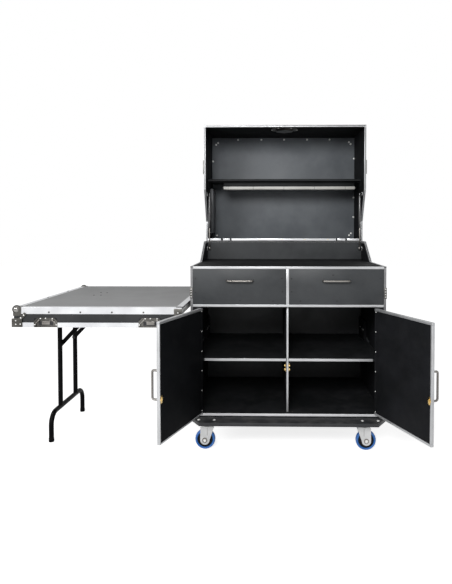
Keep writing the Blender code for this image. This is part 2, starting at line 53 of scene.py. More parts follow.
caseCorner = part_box("side_left")[0]
sides = {"left": -1, "right": 1}
east, north, up = Vector((1, 0, 0)), Vector((0, 1, 0)), Vector((0, 0, 1))

# how far edges are broken, from thin trim to the dolly
thinEdge, trimEdge, fineEdge, boardEdge, sheetEdge = 0.0002, 0.0003, 0.0004, 0.0005, 0.0006
frontEdge, softEdge, doorEdge, ductEdge, dollyEdge = 0.0007, 0.0008, 0.0009, 0.0010, 0.0015


def spot(x, y, z):
    return Vector((x + caseCorner.x + halfWidth, y + caseCorner.y, z))


print("frame loaded:", len(nodes), "nodes")

# Each finish has a colour and a paler one that cloud into each other; its wear is scratches, then dust.
plastic = {"slot": "grey_plastic", "metallic": 0.0}
laminate = {"slot": "black_laminate", "metallic": 0.0, "grain": 900.0, "bump": 0.08}
blackBoard = {**laminate, "slot": "black_board"}
aluminium = {"slot": "aluminium", "specular": 0.5, "grain": 420.0, "bump": 0.04}
steel = {"slot": "zinc_steel", "specular": 0.5, "grain": 500.0, "bump": 0.05}
blackSteel = {**steel, "slot": "black_tube"}
finishRecipes = {
    "laminate": {
        **laminate, "tones": ((0.0230, 0.0255, 0.0280), (0.034, 0.037, 0.040)), "roughness": 0.42, "specular": 0.30,
        "bump": 0.10, "wear": (0.10, 0.05),
    },
    # the table top's pale grey is a painted reflection, standing in for the white studio mirrored in the top at a low
    # angle
    "tablePaintedReflection": {
        **laminate, "tones": ((0.315, 0.317, 0.320), (0.328, 0.330, 0.333)), "roughness": 0.55, "specular": 0.10,
        "bump": 0.06, "wear": (0.02, 0.01),
    },
    "bandLaminate": {
        **laminate, "tones": ((0.014, 0.015, 0.016), (0.024, 0.025, 0.027)), "roughness": 0.42, "specular": 0.25,
        "bump": 0.10, "wear": (0.15, 0.05),
    },
    # a darker copy of the black board for the inner boards, drawer boxes, lid shelf and lamp stem: painted shade
    # inside the case
    "insidePaintedShade": {
        **blackBoard, "tones": ((0.010, 0.011, 0.012), (0.017, 0.018, 0.020)), "roughness": 0.48, "specular": 0.10,
        "wear": (0.06, 0.03),
    },
    # a paler copy of the black laminate for the lid's back board: painted light where the lamps fall on it
    "lidPaintedLight": {
        **laminate, "tones": ((0.114, 0.125, 0.137), (0.144, 0.156, 0.169)), "roughness": 0.44, "specular": 0.30,
        "wear": (0.10, 0.04),
    },
    # a darker copy of the black laminate for the side walls, the lid's sides and the right door: painted shade on
    # faces turned from the lamps
    "darkPaintedShade": {
        **laminate, "tones": ((0.0085, 0.009, 0.010), (0.0125, 0.013, 0.015)), "roughness": 0.55, "specular": 0.03,
        "wear": (0.06, 0.03),
    },
    # a still darker copy for the left door: painted shade on its inner face, which is turned from the key lamp
    "deepPaintedShade": {
        **laminate, "tones": ((0.0045, 0.0048, 0.0055), (0.0065, 0.007, 0.008)), "roughness": 0.60, "specular": 0.02,
        "wear": (0.04, 0.02),
    },
    # a darker, duller copy of the black laminate for the worktop and the lid's roof and rear: painted shade under the
    # open lid
    "worktopPaintedShade": {
        **laminate, "tones": ((0.009, 0.0095, 0.010), (0.014, 0.0145, 0.0155)), "roughness": 0.62, "specular": 0.03,
        "wear": (0.08, 0.02),
    },
    "dollyBoard": {
        **blackBoard, "tones": ((0.022, 0.023, 0.025), (0.034, 0.035, 0.038)), "roughness": 0.50, "specular": 0.25,
        "grain": 700.0, "bump": 0.12, "wear": (0.20, 0.12),
    },
    "extrusion": {
        **aluminium, "tones": ((0.40, 0.405, 0.415), (0.48, 0.485, 0.495)), "roughness": 0.36, "metallic": 0.5,
        "wear": (0.22, 0.03),
    },
    # a paler copy of the aluminium for the base rail: painted light on a rail that lies in the doors' shadow
    "extrusionPaintedLight": {
        **aluminium, "tones": ((0.76, 0.765, 0.78), (0.86, 0.865, 0.88)), "roughness": 0.40, "metallic": 0.1,
        "wear": (0.22, 0.03),
    },
    "uprightExtrusion": {
        **aluminium, "tones": ((0.165, 0.165, 0.170), (0.225, 0.225, 0.230)), "roughness": 0.42, "metallic": 0.4,
        "wear": (0.22, 0.05),
    },
    "tableExtrusion": {
        **aluminium, "tones": ((0.56, 0.565, 0.585), (0.66, 0.67, 0.68)), "roughness": 0.34, "metallic": 0.5,
        "wear": (0.22, 0.03),
    },
    "brightHead": {
        **steel, "tones": ((0.78, 0.78, 0.76), (0.86, 0.86, 0.84)), "roughness": 0.32, "metallic": 0.15,
        "bump": 0.04, "wear": (0.15, 0.03),
    },
    "nickel": {
        **steel, "tones": ((0.050, 0.048, 0.044), (0.120, 0.116, 0.108)), "roughness": 0.33, "metallic": 0.9,
        "bump": 0.06, "wear": (0.25, 0.05),
    },
    # chrome's rim colour is a painted reflection, darkening the ball towards its rim
    "chrome": {
        **steel, "tones": ((0.19, 0.186, 0.178), (0.26, 0.255, 0.244)), "rim": (0.012, 0.012, 0.011),
        "roughness": 0.12, "metallic": 1.0, "specular": 0.1, "grain": 300.0, "bump": 0.02, "wear": (0.15, 0.03),
    },
    "brass": {
        **steel, "tones": ((0.60, 0.42, 0.16), (0.74, 0.56, 0.26)), "roughness": 0.28, "metallic": 1.0,
        "wear": (0.20, 0.04),
    },
    "satinSteel": {
        **steel, "slot": "satin_steel", "tones": ((0.150, 0.140, 0.130), (0.210, 0.200, 0.188)), "roughness": 0.30,
        "metallic": 1.0, "grain": 600.0, "wear": (0.12, 0.02),
    },
    "zincSheet": {
        **steel, "tones": ((0.43, 0.435, 0.435), (0.55, 0.55, 0.55)), "roughness": 0.36, "metallic": 0.6,
        "grain": 260.0, "wear": (0.20, 0.08),
    },
    "darkScrew": {
        **blackSteel, "tones": ((0.012, 0.012, 0.013), (0.030, 0.030, 0.032)), "roughness": 0.35, "metallic": 0.6,
        "wear": (0.25, 0.02),
    },
    "glossTube": {
        **blackSteel, "tones": ((0.002, 0.002, 0.0024), (0.004, 0.004, 0.0045)), "roughness": 0.36, "metallic": 0.0,
        "specular": 0.03, "grain": 220.0, "bump": 0.06, "wear": (0.08, 0.04),
    },
    "strutBlack": {
        **blackSteel, "tones": ((0.020, 0.020, 0.021), (0.030, 0.030, 0.031)), "roughness": 0.24, "metallic": 0.0,
        "specular": 0.90, "grain": 220.0, "bump": 0.03, "wear": (0.08, 0.02),
    },
    "blueTyre": {
        **plastic, "slot": "blue_rubber", "tones": ((0.016, 0.115, 0.400), (0.032, 0.155, 0.460)),
        "roughness": 0.42, "specular": 0.5, "grain": 350.0, "bump": 0.10, "wear": (0.18, 0.10),
    },
    "wheelCentre": {
        **plastic, "tones": ((0.005, 0.0055, 0.006), (0.010, 0.0105, 0.012)), "roughness": 0.44, "specular": 0.10,
        "grain": 400.0, "bump": 0.08, "wear": (0.06, 0.03),
    },
    "trunking": {
        **plastic, "tones": ((0.055, 0.060, 0.066), (0.090, 0.095, 0.102)), "roughness": 0.48, "specular": 0.5,
        "grain": 500.0, "bump": 0.05, "wear": (0.08, 0.05),
    },
    "lampHousing": {
        **plastic, "tones": ((0.42, 0.415, 0.39), (0.54, 0.535, 0.51)), "roughness": 0.40, "specular": 0.5,
        "grain": 500.0, "bump": 0.04, "wear": (0.10, 0.04),
    },
}
dustColour = (0.34, 0.33, 0.31)
scuffGain, scuffLift = 1.35, 0.03
smoother, rougher = 0.04, 0.06
bumpDepth = 0.0004
# how far towards the rim the painted reflection darkens polished metal
reflectionBlend, reflectionRange = 0.5, (0.25, 0.60)


def setInputs(node, **values):
    for socket, value in values.items():
        node.inputs[socket.replace("_", " ")].default_value = value


# each wire goes from an output of one node to an input of another
def link(tree, *wires):
    for source, output, target, entry in wires:
        tree.links.new(source.outputs[output], target.inputs[entry])


def startGroup(name, label, value, outputs):
    group = bpy.data.node_groups.new(name, "ShaderNodeTree")
    group.interface.new_socket(name="Vector", in_out="INPUT", socket_type="NodeSocketVector")
    amount = group.interface.new_socket(name=label, in_out="INPUT", socket_type="NodeSocketFloat")
    amount.default_value = value
    for output in outputs:
        group.interface.new_socket(name=output, in_out="OUTPUT", socket_type="NodeSocketFloat")
    return group, group.nodes.new("NodeGroupInput"), group.nodes.new("NodeGroupOutput")


def addNoise(tree, scale, detail, roughness=0.5):
    noise = tree.nodes.new("ShaderNodeTexNoise")
    setInputs(noise, Scale=scale, Detail=detail, Roughness=roughness)
    return noise


def addRange(tree, fromLow, fromHigh, toLow=0.0, toHigh=1.0):
    spread = tree.nodes.new("ShaderNodeMapRange")
    spread.interpolation_type = "SMOOTHSTEP"
    setInputs(spread, From_Min=fromLow, From_Max=fromHigh, To_Min=toLow, To_Max=toHigh)
    return spread


def addMaths(tree, operation):
    maths = tree.nodes.new("ShaderNodeMath")
    maths.operation = operation
    return maths


# fine pressed or cast grain, and a slow cloudiness for the tone
def makeGrainGroup():
    group, start, end = startGroup("fineGrain", "Scale", 800.0, ("Height", "Tone"))
    fine = addNoise(group, 800.0, 3.0, 0.6)
    cloud = addNoise(group, 7.0, 4.0, 0.55)
    spread = addRange(group, 0.32, 0.68)
    link(
        group, (start, "Vector", fine, "Vector"), (start, "Scale", fine, "Scale"), (start, "Vector", cloud, "Vector"),
        (fine, "Fac", end, "Height"), (cloud, "Fac", spread, "Value"), (spread, "Result", end, "Tone"),
    )
    return group


# thin scuffs that run two ways across a surface
def makeScratchGroup():
    group, start, end = startGroup("fineScratches", "Amount", 0.2, ("Mask",))
    both = addMaths(group, "MAXIMUM")
    share = addMaths(group, "MULTIPLY")
    for index, (turn, stretch) in enumerate(((0.5, (9.0, 160.0, 9.0)), (-0.8, (140.0, 11.0, 130.0)))):
        place = group.nodes.new("ShaderNodeMapping")
        setInputs(place, Rotation=(turn, turn * 0.6, turn), Scale=stretch)
        streak = addNoise(group, 1.0, 2.0)
        narrow = addRange(group, 0.70, 0.78)
        link(
            group, (start, "Vector", place, "Vector"), (place, "Vector", streak, "Vector"),
            (streak, "Fac", narrow, "Value"), (narrow, "Result", both, index),
        )
    link(group, (both, 0, share, 0), (start, "Amount", share, 1), (share, 0, end, "Mask"))
    return group


# light dust that settles in patches, most of it on what faces up
def makeDustGroup():
    group, start, end = startGroup("settledDust", "Amount", 0.1, ("Mask",))
    surface = group.nodes.new("ShaderNodeNewGeometry")
    split = group.nodes.new("ShaderNodeSeparateXYZ")
    upward = addRange(group, 0.2, 0.95, 0.25, 1.0)
    patch = addNoise(group, 22.0, 6.0, 0.65)
    uneven = addRange(group, 0.40, 0.70)
    both = addMaths(group, "MULTIPLY")
    share = addMaths(group, "MULTIPLY")
    link(
        group, (surface, "Normal", split, "Vector"), (split, "Z", upward, "Value"),
        (start, "Vector", patch, "Vector"), (patch, "Fac", uneven, "Value"), (upward, "Result", both, 0),
        (uneven, "Result", both, 1), (both, 0, share, 0), (start, "Amount", share, 1), (share, 0, end, "Mask"),
    )
    return group


groups = {"Scale": makeGrainGroup(), "Scratches": makeScratchGroup(), "Dust": makeDustGroup()}


def placeGroup(tree, source, kind, label, value):
    node = tree.nodes.new("ShaderNodeGroup")
    node.node_tree = groups[kind]
    setInputs(node, **{label: value})
    link(tree, (source, "Object", node, "Vector"))
    return node


def addMix(tree, second):
    mix = tree.nodes.new("ShaderNodeMix")
    mix.data_type = "RGBA"
    setInputs(mix, B=(*second, 1.0))
    return mix


# painted reflection: the colour is darkened towards the rim, standing in for the dark side of the room that polished
# metal mirrors there
def paintRimReflection(tree, source, shader, colour):
    facing = tree.nodes.new("ShaderNodeLayerWeight")
    setInputs(facing, Blend=reflectionBlend)
    edge = addRange(tree, *reflectionRange)
    reflected = addMix(tree, colour)
    link(
        tree, (facing, "Facing", edge, "Value"), (edge, "Result", reflected, "Factor"), (source, "Result", reflected, "A"),
        (reflected, "Result", shader, "Base Color"), (reflected, "Result", shader, "Specular Tint"),
    )


def makeFinish(name):
    recipe = finishRecipes[name]
    finish = bpy.data.materials.new(name)
    finish.use_nodes = True
    tree = finish.node_tree
    shader = tree.nodes["Principled BSDF"]
    setInputs(shader, Metallic=recipe["metallic"], Specular_IOR_Level=recipe["specular"])
    source = tree.nodes.new("ShaderNodeTexCoord")
    grain = placeGroup(tree, source, "Scale", "Scale", recipe["grain"])
    scratches = placeGroup(tree, source, "Scratches", "Amount", recipe["wear"][0])
    dust = placeGroup(tree, source, "Dust", "Amount", recipe["wear"][1])
    colour, pale = recipe["tones"]
    clouded = addMix(tree, pale)
    setInputs(clouded, A=(*colour, 1.0))
    scuffed = addMix(tree, [min(1.0, level * scuffGain + scuffLift) for level in pale])
    dusted = addMix(tree, dustColour)
    rough = addRange(tree, 0.0, 1.0, recipe["roughness"] - smoother, recipe["roughness"] + rougher)
    worn = addMaths(tree, "ADD")
    bump = tree.nodes.new("ShaderNodeBump")
    setInputs(bump, Strength=recipe["bump"], Distance=bumpDepth)
    link(
        tree, (grain, "Tone", clouded, "Factor"), (clouded, "Result", scuffed, "A"),
        (scratches, "Mask", scuffed, "Factor"), (scuffed, "Result", dusted, "A"), (dust, "Mask", dusted, "Factor"),
        (dusted, "Result", shader, "Base Color"), (grain, "Tone", rough, "Value"), (rough, "Result", worn, 0),
        (dust, "Mask", worn, 1), (worn, 0, shader, "Roughness"), (grain, "Height", bump, "Height"),
        (bump, "Normal", shader, "Normal"),
    )
    if "rim" in recipe:
        paintRimReflection(tree, dusted, shader, recipe["rim"])
    return finish


finishes = {name: makeFinish(name) for name in finishRecipes}
print("finishes made:", len(finishes))

# how near two points are one, and how nearly two directions have to agree
touching, alike = 0.00001, 0.95


def activate(piece):
    for item in bpy.context.selected_objects:
        item.select_set(False)
    bpy.context.view_layer.objects.active = piece
    piece.select_set(True)


def enterEdit(piece):
    activate(piece)
    bpy.ops.object.mode_set(mode="EDIT")
    bpy.ops.mesh.select_mode(type="VERT")
    bpy.ops.mesh.select_all(action="SELECT")


def leaveEdit():
    bpy.ops.object.mode_set(mode="OBJECT")


# in edit mode, selects the points whose place passes a test
def pickVerts(piece, wanted):
    bpy.ops.mesh.select_mode(type="VERT")
    mesh = bmesh.from_edit_mesh(piece.data)
    for vert in mesh.verts:
        vert.select_set(bool(wanted(vert.co)))
    mesh.select_flush_mode()
    bmesh.update_edit_mesh(piece.data)


# in edit mode, selects the faces that look along one of some directions
def pickFaces(piece, *directions):
    bpy.ops.mesh.select_mode(type="FACE")
    bpy.ops.mesh.select_all(action="DESELECT")
    mesh = bmesh.from_edit_mesh(piece.data)
    for face in mesh.faces:
        if any(face.normal.dot(Vector(direction)) > alike for direction in directions):
            face.select_set(True)
    bmesh.update_edit_mesh(piece.data)


def extrude(reach):
    bpy.ops.mesh.extrude_region_move(TRANSFORM_OT_translate={"value": reach})


def settle(piece):
    activate(piece)
    bpy.ops.object.transform_apply(location=True, rotation=True, scale=True)


def applyLast(piece, modifier):
    activate(piece)
    bpy.ops.object.modifier_apply(modifier=modifier.name)


def joinAll(name, pieces):
    activate(pieces[0])
    for piece in pieces:
        piece.select_set(True)
    if len(pieces) > 1:
        bpy.ops.object.join()
    pieces[0].name = name
    return pieces[0]


# gives a piece its finish and the body that it moves with
def dress(piece, finish, body, smooth=30.0):
    piece.data.materials.clear()
    piece.data.materials.append(finishes[finish])
    activate(piece)
    bpy.ops.object.shade_smooth_by_angle(angle=math.radians(smooth))
    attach(piece, body)


# dresses a piece and shows it in place of a CAD node
def dressFor(node, piece, finish, body, smooth=30.0):
    dress(piece, finish, body, smooth)
    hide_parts(node)


# the matrix that stands a shape made along +Z on a place, looking along a vector
def standing(place, along):
    turn = Vector(along).to_track_quat("Z", "Y").to_matrix().to_4x4()
    return Matrix.Translation(place) @ turn


# a box between two corners with its edges broken
def board(name, low, high, soft=softEdge, steps=2):
    low, high = Vector(low), Vector(high)
    bpy.ops.mesh.primitive_cube_add(size=1, location=(low + high) / 2)
    piece = bpy.context.object
    piece.name = name
    piece.scale = high - low
    settle(piece)
    enterEdit(piece)
    bpy.ops.mesh.bevel(offset=soft, segments=steps, affect="EDGES")
    leaveEdit()
    return piece


# the same from its two ends along X, Y and Z, each in either order
def slab(name, x, y, z, soft=softEdge, steps=2):
    low, high = zip(*(sorted(reach) for reach in (x, y, z)))
    return board(name, spot(*low), spot(*high), soft, steps)


# a round disc or pin from one place along a vector, with its rims broken
def pin(name, start, along, radius, soft=sheetEdge, corners=20):
    bpy.ops.mesh.primitive_cylinder_add(vertices=corners, radius=radius, depth=along.length)
    piece = bpy.context.object
    piece.name = name
    enterEdit(piece)
    pickFaces(piece, up, -up)
    bpy.ops.mesh.bevel(offset=soft, segments=2, affect="EDGES")
    leaveEdit()
    piece.matrix_world = standing(start + along / 2, along)
    settle(piece)
    return piece


# an extruded angle with two legs from one outer corner line
def angleStrip(corner, along, legA, legB, sheet=0.0015, soft=0.0012):
    a, b = legA.normalized(), legB.normalized()
    bpy.ops.mesh.primitive_plane_add(size=1)
    piece = bpy.context.object
    turn = Matrix((a * sheet, b * sheet, a.cross(b))).transposed().to_4x4()
    piece.matrix_world = Matrix.Translation(corner + (a + b) * sheet / 2) @ turn
    settle(piece)
    enterEdit(piece)
    pickVerts(piece, lambda p: (p - corner).dot(a) > sheet / 2)
    extrude(a * (legA.length - sheet))
    pickVerts(piece, lambda p: (p - corner).dot(b) > sheet / 2 and (p - corner).dot(a) < sheet * 1.5)
    extrude(b * (legB.length - sheet))
    bpy.ops.mesh.select_all(action="SELECT")
    extrude(along)
    bpy.ops.mesh.select_all(action="SELECT")
    bpy.ops.mesh.normals_make_consistent(inside=False)
    pickVerts(piece, lambda p: (p - corner).dot(a) < touching and (p - corner).dot(b) < touching)
    bpy.ops.mesh.bevel(offset=soft, segments=3, affect="EDGES")
    leaveEdit()
    return piece


# an edge channel over a rim: it runs from start to end and covers the rim to a depth
def channel(start, end, wide, into, groove=0.003, soft=frontEdge, grooveDepth=0.002):
    along = end - start
    strip = board("channel", (0, -wide / 2, 0), (along.length, wide / 2, into.length), soft)
    enterEdit(strip)
    pickFaces(strip, -up)
    bpy.ops.mesh.inset(thickness=(wide - groove) / 2 - soft)
    extrude(up * grooveDepth)
    leaveEdit()
    x, z = along.normalized(), into.normalized()
    strip.matrix_world = Matrix.Translation(start) @ Matrix((x, z.cross(x), z)).transposed().to_4x4()
    settle(strip)
    return strip


# one modelled shape copied to several matrices and joined
def joinCopies(name, model, places):
    copies = []
    for place in places:
        copy = model.copy()
        copy.data = model.data.copy()
        bpy.context.scene.collection.objects.link(copy)
        copy.matrix_world = place
        copies.append(copy)
    bpy.data.objects.remove(model, do_unlink=True)
    piece = joinAll(name, copies)
    settle(piece)
    return piece


# rivet or screw heads on several places, all looking one way
def studs(name, places, normal, radius, height):
    bpy.ops.mesh.primitive_uv_sphere_add(segments=12, ring_count=6, radius=radius)
    head = bpy.context.object
    enterEdit(head)
    bpy.ops.mesh.bisect(plane_co=(0, 0, -radius * 0.05), plane_no=(0, 0, 1), clear_inner=True, use_fill=True)
    leaveEdit()
    head.scale.z = height / radius
    settle(head)
    return joinCopies(name, head, [standing(place, normal) for place in places])


# the same, dressed; their size is a radius and a height
def fitHeads(name, places, normal, size, finish, body):
    dress(studs(name, places, normal, *size), finish, body, 60)


# a round bar along points, drawn as a bevelled curve and turned into a mesh
def barAlong(name, points, radius, fineness=3):
    curve = bpy.data.curves.new(name, "CURVE")
    curve.dimensions = "3D"
    curve.bevel_depth = radius
    curve.bevel_resolution = fineness
    curve.use_fill_caps = True
    line = curve.splines.new("POLY")
    line.points.add(len(points) - 1)
    for point, place in zip(line.points, points):
        point.co = (*place, 1.0)
    piece = bpy.data.objects.new(name, curve)
    bpy.context.scene.collection.objects.link(piece)
    activate(piece)
    bpy.ops.object.convert(target="MESH")
    enterEdit(piece)
    bpy.ops.mesh.remove_doubles(threshold=touching)
    bpy.ops.mesh.normals_make_consistent(inside=False)
    leaveEdit()
    return piece


# the points of a flat arch: two straight legs, a straight top and two round bends
def archPoints(first, second, reach, bend, steps=8):
    across, ahead = (second - first).normalized(), reach.normalized()
    arcs = []
    for foot, inward in ((first, across), (second, -across)):
        arc = []
        for step in range(steps + 1):
            angle = math.pi / 2 * step / steps
            rise = reach.length - bend + bend * math.sin(angle)
            arc.append(foot + ahead * rise + inward * bend * (1 - math.cos(angle)))
        arcs.append(arc)
    return [first] + arcs[0] + arcs[1][::-1] + [second]


# takes boxes out of a piece, each given by its ends along X, Y and Z
def cutOut(piece, boxes):
    for reaches in boxes:
        cutter = slab("cutter", *reaches, thinEdge, 1)
        cut = piece.modifiers.new("cut", "BOOLEAN")
        cut.operation = "DIFFERENCE"
        cut.solver = "EXACT"
        cut.object = cutter
        applyLast(piece, cut)
        bpy.data.objects.remove(cutter, do_unlink=True)


# the CAD shape with its edges broken, shown in place of the CAD node
def finishNode(node, finish, body, soft=softEdge, steps=2):
    piece = nodes[node].copy()
    piece.data = nodes[node].data.copy()
    for key in list(piece.keys()):
        del piece[key]
    piece.parent = None
    piece.matrix_world = nodes[node].matrix_world
    bpy.context.scene.collection.objects.link(piece)
    piece.name = f"{node}_finished"
    settle(piece)
    enterEdit(piece)
    bpy.ops.mesh.remove_doubles(threshold=2 * touching)
    bpy.ops.mesh.dissolve_limited(angle_limit=math.radians(3))
    leaveEdit()
    edge = piece.modifiers.new("edges", "BEVEL")
    edge.width = soft
    edge.segments = steps
    edge.limit_method = "ANGLE"
    edge.angle_limit = math.radians(50)
    applyLast(piece, edge)
    dressFor(node, piece, finish, body)


edging = {
    "proud": 0.0008, "front": 0.0118, "side": 0.026, "foot": 0.1560, "cover": 0.0135, "wide": 0.0106, "over": 0.02,
    "lip": 0.006, "headroom": 0.004, "rearRise": 0.855, "rearX": 0.455, "rearZ": (0.9860, 1.0080), "start": 0.0125,
    "capReach": 0.012, "capProud": 0.0004, "capZ": (-0.0042, 0.0003), "leafX": 0.4712, "leafY": (-0.0004, 0.0007),
    "leafZ": (1.0083, 1.0147), "rimEnd": 0.002, "rearOut": 0.0001,
}


# edge channels along the rim of a side wall, from corner to corner
def rimChannels(sign, rim, turn):
    wall = sign * (halfWidth + inner) / 2
    strips = []
    for (y0, z0), (y1, z1) in zip(rim, rim[1:]):
        start, end = spot(wall, y0, z0), spot(wall, y1, z1)
        into = Vector((0, turn * (end - start).z, -turn * (end - start).y)).normalized() * edging["cover"]
        over = into * edging["over"]
        strips.append(channel(start - over, end - over, edging["wide"], into))
    return strips


def makeCaseEdging():
    proud, foot, deep, lip = edging["proud"], edging["foot"], edging["side"], edging["lip"]
    rise = up * (worktopZ - edging["headroom"] - foot)
    start, end = edging["start"], depth - edging["rimEnd"]
    rim = [(start, worktopZ), (slopeY[0], worktopZ), (slopeY[1], hingeZ), (end, hingeZ)]
    for side, sign in sides.items():
        outer = sign * (halfWidth + proud)
        inward = -sign * east
        strips = [
            angleStrip(spot(outer, -proud, foot), rise, inward * edging["front"], north * deep),
            angleStrip(spot(outer, depth + proud, foot), up * edging["rearRise"], inward * deep, -north * deep),
            angleStrip(spot(outer, deep, foot), north * (depth - 2 * deep), up * deep, inward * lip),
        ]
        dress(joinAll(f"body_extrusions_{side}", strips), "uprightExtrusion", "case")
        cap = slab(
            f"upright_cap_{side}", (outer, outer - sign * edging["capReach"]),
            (-proud - edging["capProud"], edging["capReach"]), [worktopZ + z for z in edging["capZ"]], sheetEdge,
        )
        dress(cap, "darkScrew", "case")
        dress(joinAll(f"cheek_channel_{side}", rimChannels(sign, rim, 1)), "extrusion", "case")
    wide = edging["rearX"]
    rear = [
        angleStrip(spot(-wide, depth + proud, foot), east * 2 * wide, up * deep, -north * lip),
        slab("upper", (-wide, wide), (depth + edging["rearOut"], depth + proud), edging["rearZ"], trimEdge),
    ]
    dress(joinAll("rear_extrusions", rear), "extrusion", "case")
    # a black hinge leaf under the lid's rear edge; its black also stands in for the shade seen through the slit above
    # the rear extrusion
    wide = edging["leafX"]
    leaf = slab("lid_hinge_leaf", (-wide, wide), [depth + y for y in edging["leafY"]], edging["leafZ"], trimEdge)
    dress(leaf, "darkScrew", "case")


rails = {
    "worktop_rail": ((-0.4697, 0.4697), (-0.0008, 0.0100), (0.8912, 0.9032)),
    "deck_rail": ((-0.4697, 0.4697), (-0.0008, 0.0006), (0.7035, 0.7150)),
    "base_rail": ((-0.4697, 0.4697), (-0.0008, 0.0006), (0.1600, 0.1722)),
    "drawer_strip": ((-0.0092, 0.0046), (-0.0008, 0.0006), (0.7154, 0.8908)),
    "cupboard_strip": ((-0.0058, 0.0034), (0.0292, 0.0304), (0.1717, 0.7030)),
    "shelf_edge_left": ((-0.4146, -0.0092), (0.0157, 0.0170), (0.4306, 0.4433)),
    "shelf_edge_right": ((0.0038, 0.4215), (0.0157, 0.0170), (0.4306, 0.4433)),
}


def makeRails():
    for name, reaches in rails.items():
        # the base rail takes the paler copy of the aluminium, painted light
        finish = "extrusionPaintedLight" if name == "base_rail" else "extrusion"
        dress(slab(name, *reaches, boardEdge), finish, "case")


cupboardFixings = {
    "places": [(-0.401, 0.032), (0.024, 0.034), (0.400, 0.039), (0.462, 0.360)], "z": 0.171, "size": (0.0045, 0.0016),
}
keeper = {
    "y": (0.000, 0.052), "z": (0.745, 0.799), "sheet": 0.0015, "proud": 0.0050, "edge": (0.014, 0.018),
    "wrapX": (0.0030, -0.0095), "wrapY": (-0.0030, -0.0010), "inset": 0.008, "size": (0.0035, 0.0016),
    "rises": (0.008, 0.021, 0.034, 0.046), "wrapRivet": (0.0032, -0.0028), "wrapSize": (0.0030, 0.0014),
    "rivetOut": 0.0012, "hookSoft": 0.002,
}


# the latch keeper on an outer side, wrapped round the front corner
def makeKeeper(side, sign):
    (near, far), (low, high) = keeper["y"], keeper["z"]
    (edgeY, edgeZ), inset = keeper["edge"], keeper["inset"]
    outer = sign * halfWidth
    shape = [
        slab("plate", (outer, outer + sign * keeper["sheet"]), (near, far), (low, high), sheetEdge),
        slab(
            "hook", (outer, outer + sign * keeper["proud"]), (near + edgeY, far - edgeY), (low + edgeZ, high - edgeZ),
            keeper["hookSoft"],
        ),
        slab("wrap", [outer + sign * x for x in keeper["wrapX"]], keeper["wrapY"], (low, high), sheetEdge),
    ]
    dress(joinAll(f"latch_keeper_{side}", shape), "nickel", "case")
    x = outer + sign * keeper["rivetOut"]
    places = [spot(x, y, z) for y in (near + inset, far - inset) for z in (low + inset, high - inset)]
    fitHeads(f"keeper_rivets_{side}", places, (sign, 0, 0), keeper["size"], "brightHead", "case")
    back, y = keeper["wrapRivet"]
    places = [spot(outer - sign * back, y, low + rise) for rise in keeper["rises"]]
    fitHeads(f"wrap_rivets_{side}", places, (0, -1, 0), keeper["wrapSize"], "brightHead", "case")


# a ball catch on each side of the cupboard divider, behind its front edge
catch = {
    "faces": {-1: -0.0088, 1: 0.0033}, "y": (0.0300, 0.0480), "z": (0.3735, 0.4160), "plate": (0.0002, 0.0018),
    "ballY": 0.0350, "ballZ": (0.3850, 0.4050), "start": 0.001, "reach": 0.0085, "radius": 0.0072, "round": 0.0032,
}


def makeCatch():
    bits = []
    for sign, face in catch["faces"].items():
        bits.append(slab("plate", [face + sign * x for x in catch["plate"]], catch["y"], catch["z"], sheetEdge))
        for z in catch["ballZ"]:
            start = spot(face + sign * catch["start"], catch["ballY"], z)
            bits.append(pin("ball", start, sign * east * catch["reach"], catch["radius"], catch["round"], 16))
    dress(joinAll("ball_catch", bits), "brass", "case", 50)


grip = {
    "y": (0.512, 0.638), "pivotZ": 0.522, "drop": 0.048, "radius": 0.0045, "sunk": 0.011, "bend": 0.012,
    "frameX": (-0.001, 0.0012), "frameY": (0.481, 0.669), "frameZ": (0.413, 0.567), "holeY": (0.495, 0.655),
    "holeZ": (0.427, 0.553), "past": 0.01, "rivet": 0.007, "rivetOut": 0.0010, "rivetSize": (0.0035, 0.0018),
    "backX": 0.4577,
    "bolts": [(0.505, 0.4990), (0.540, 0.5005), (0.612, 0.4995)], "boltSize": (0.0050, 0.0030),
    "bracketX": (-0.0002, -0.0020), "upright": ((0.4580, 0.4720), (0.4250, 0.4620)),
    "foot": ((0.4000, 0.4590), (0.4450, 0.4560)),
}


# a swinging side grip, the frame of its dish, and the bracket and bolts seen from inside
def makeGrip(side, sign):
    x = sign * (halfWidth - grip["sunk"])
    first, second = (spot(x, y, grip["pivotZ"]) for y in grip["y"])
    points = archPoints(first, second, -up * grip["drop"], grip["bend"])
    bail = barAlong(f"side_bail_{side}", points, grip["radius"])
    dressFor(f"side_grip_{side}", bail, "zincSheet", f"grip_{side}", 50)
    frameX = [sign * (halfWidth + x) for x in grip["frameX"]]
    (near, far), (bottom, top) = grip["frameY"], grip["frameZ"]
    ring = slab(f"dish_frame_{side}", frameX, (near, far), (bottom, top), fineEdge)
    past = sign * grip["past"]
    cutOut(ring, [((frameX[0] - past, frameX[1] + past), grip["holeY"], grip["holeZ"])])
    dress(ring, "zincSheet", "case")
    inset = grip["rivet"]
    places = [
        spot(sign * (halfWidth + grip["rivetOut"]), y, z)
        for y in (near + inset, far - inset) for z in (bottom + inset, (bottom + top) / 2, top - inset)
    ]
    fitHeads(f"dish_rivets_{side}", places, (sign, 0, 0), grip["rivetSize"], "brightHead", "case")
    places = [spot(sign * grip["backX"], y, z) for y, z in grip["bolts"]]
    fitHeads(f"dish_bolts_{side}", places, (-sign, 0, 0), grip["boltSize"], "zincSheet", "case")
    bracketX = [sign * (inner + x) for x in grip["bracketX"]]
    corner = joinAll(
        f"inner_bracket_{side}", [slab(part, bracketX, *grip[part], sheetEdge) for part in ("upright", "foot")]
    )
    dress(corner, "trunking", "case")


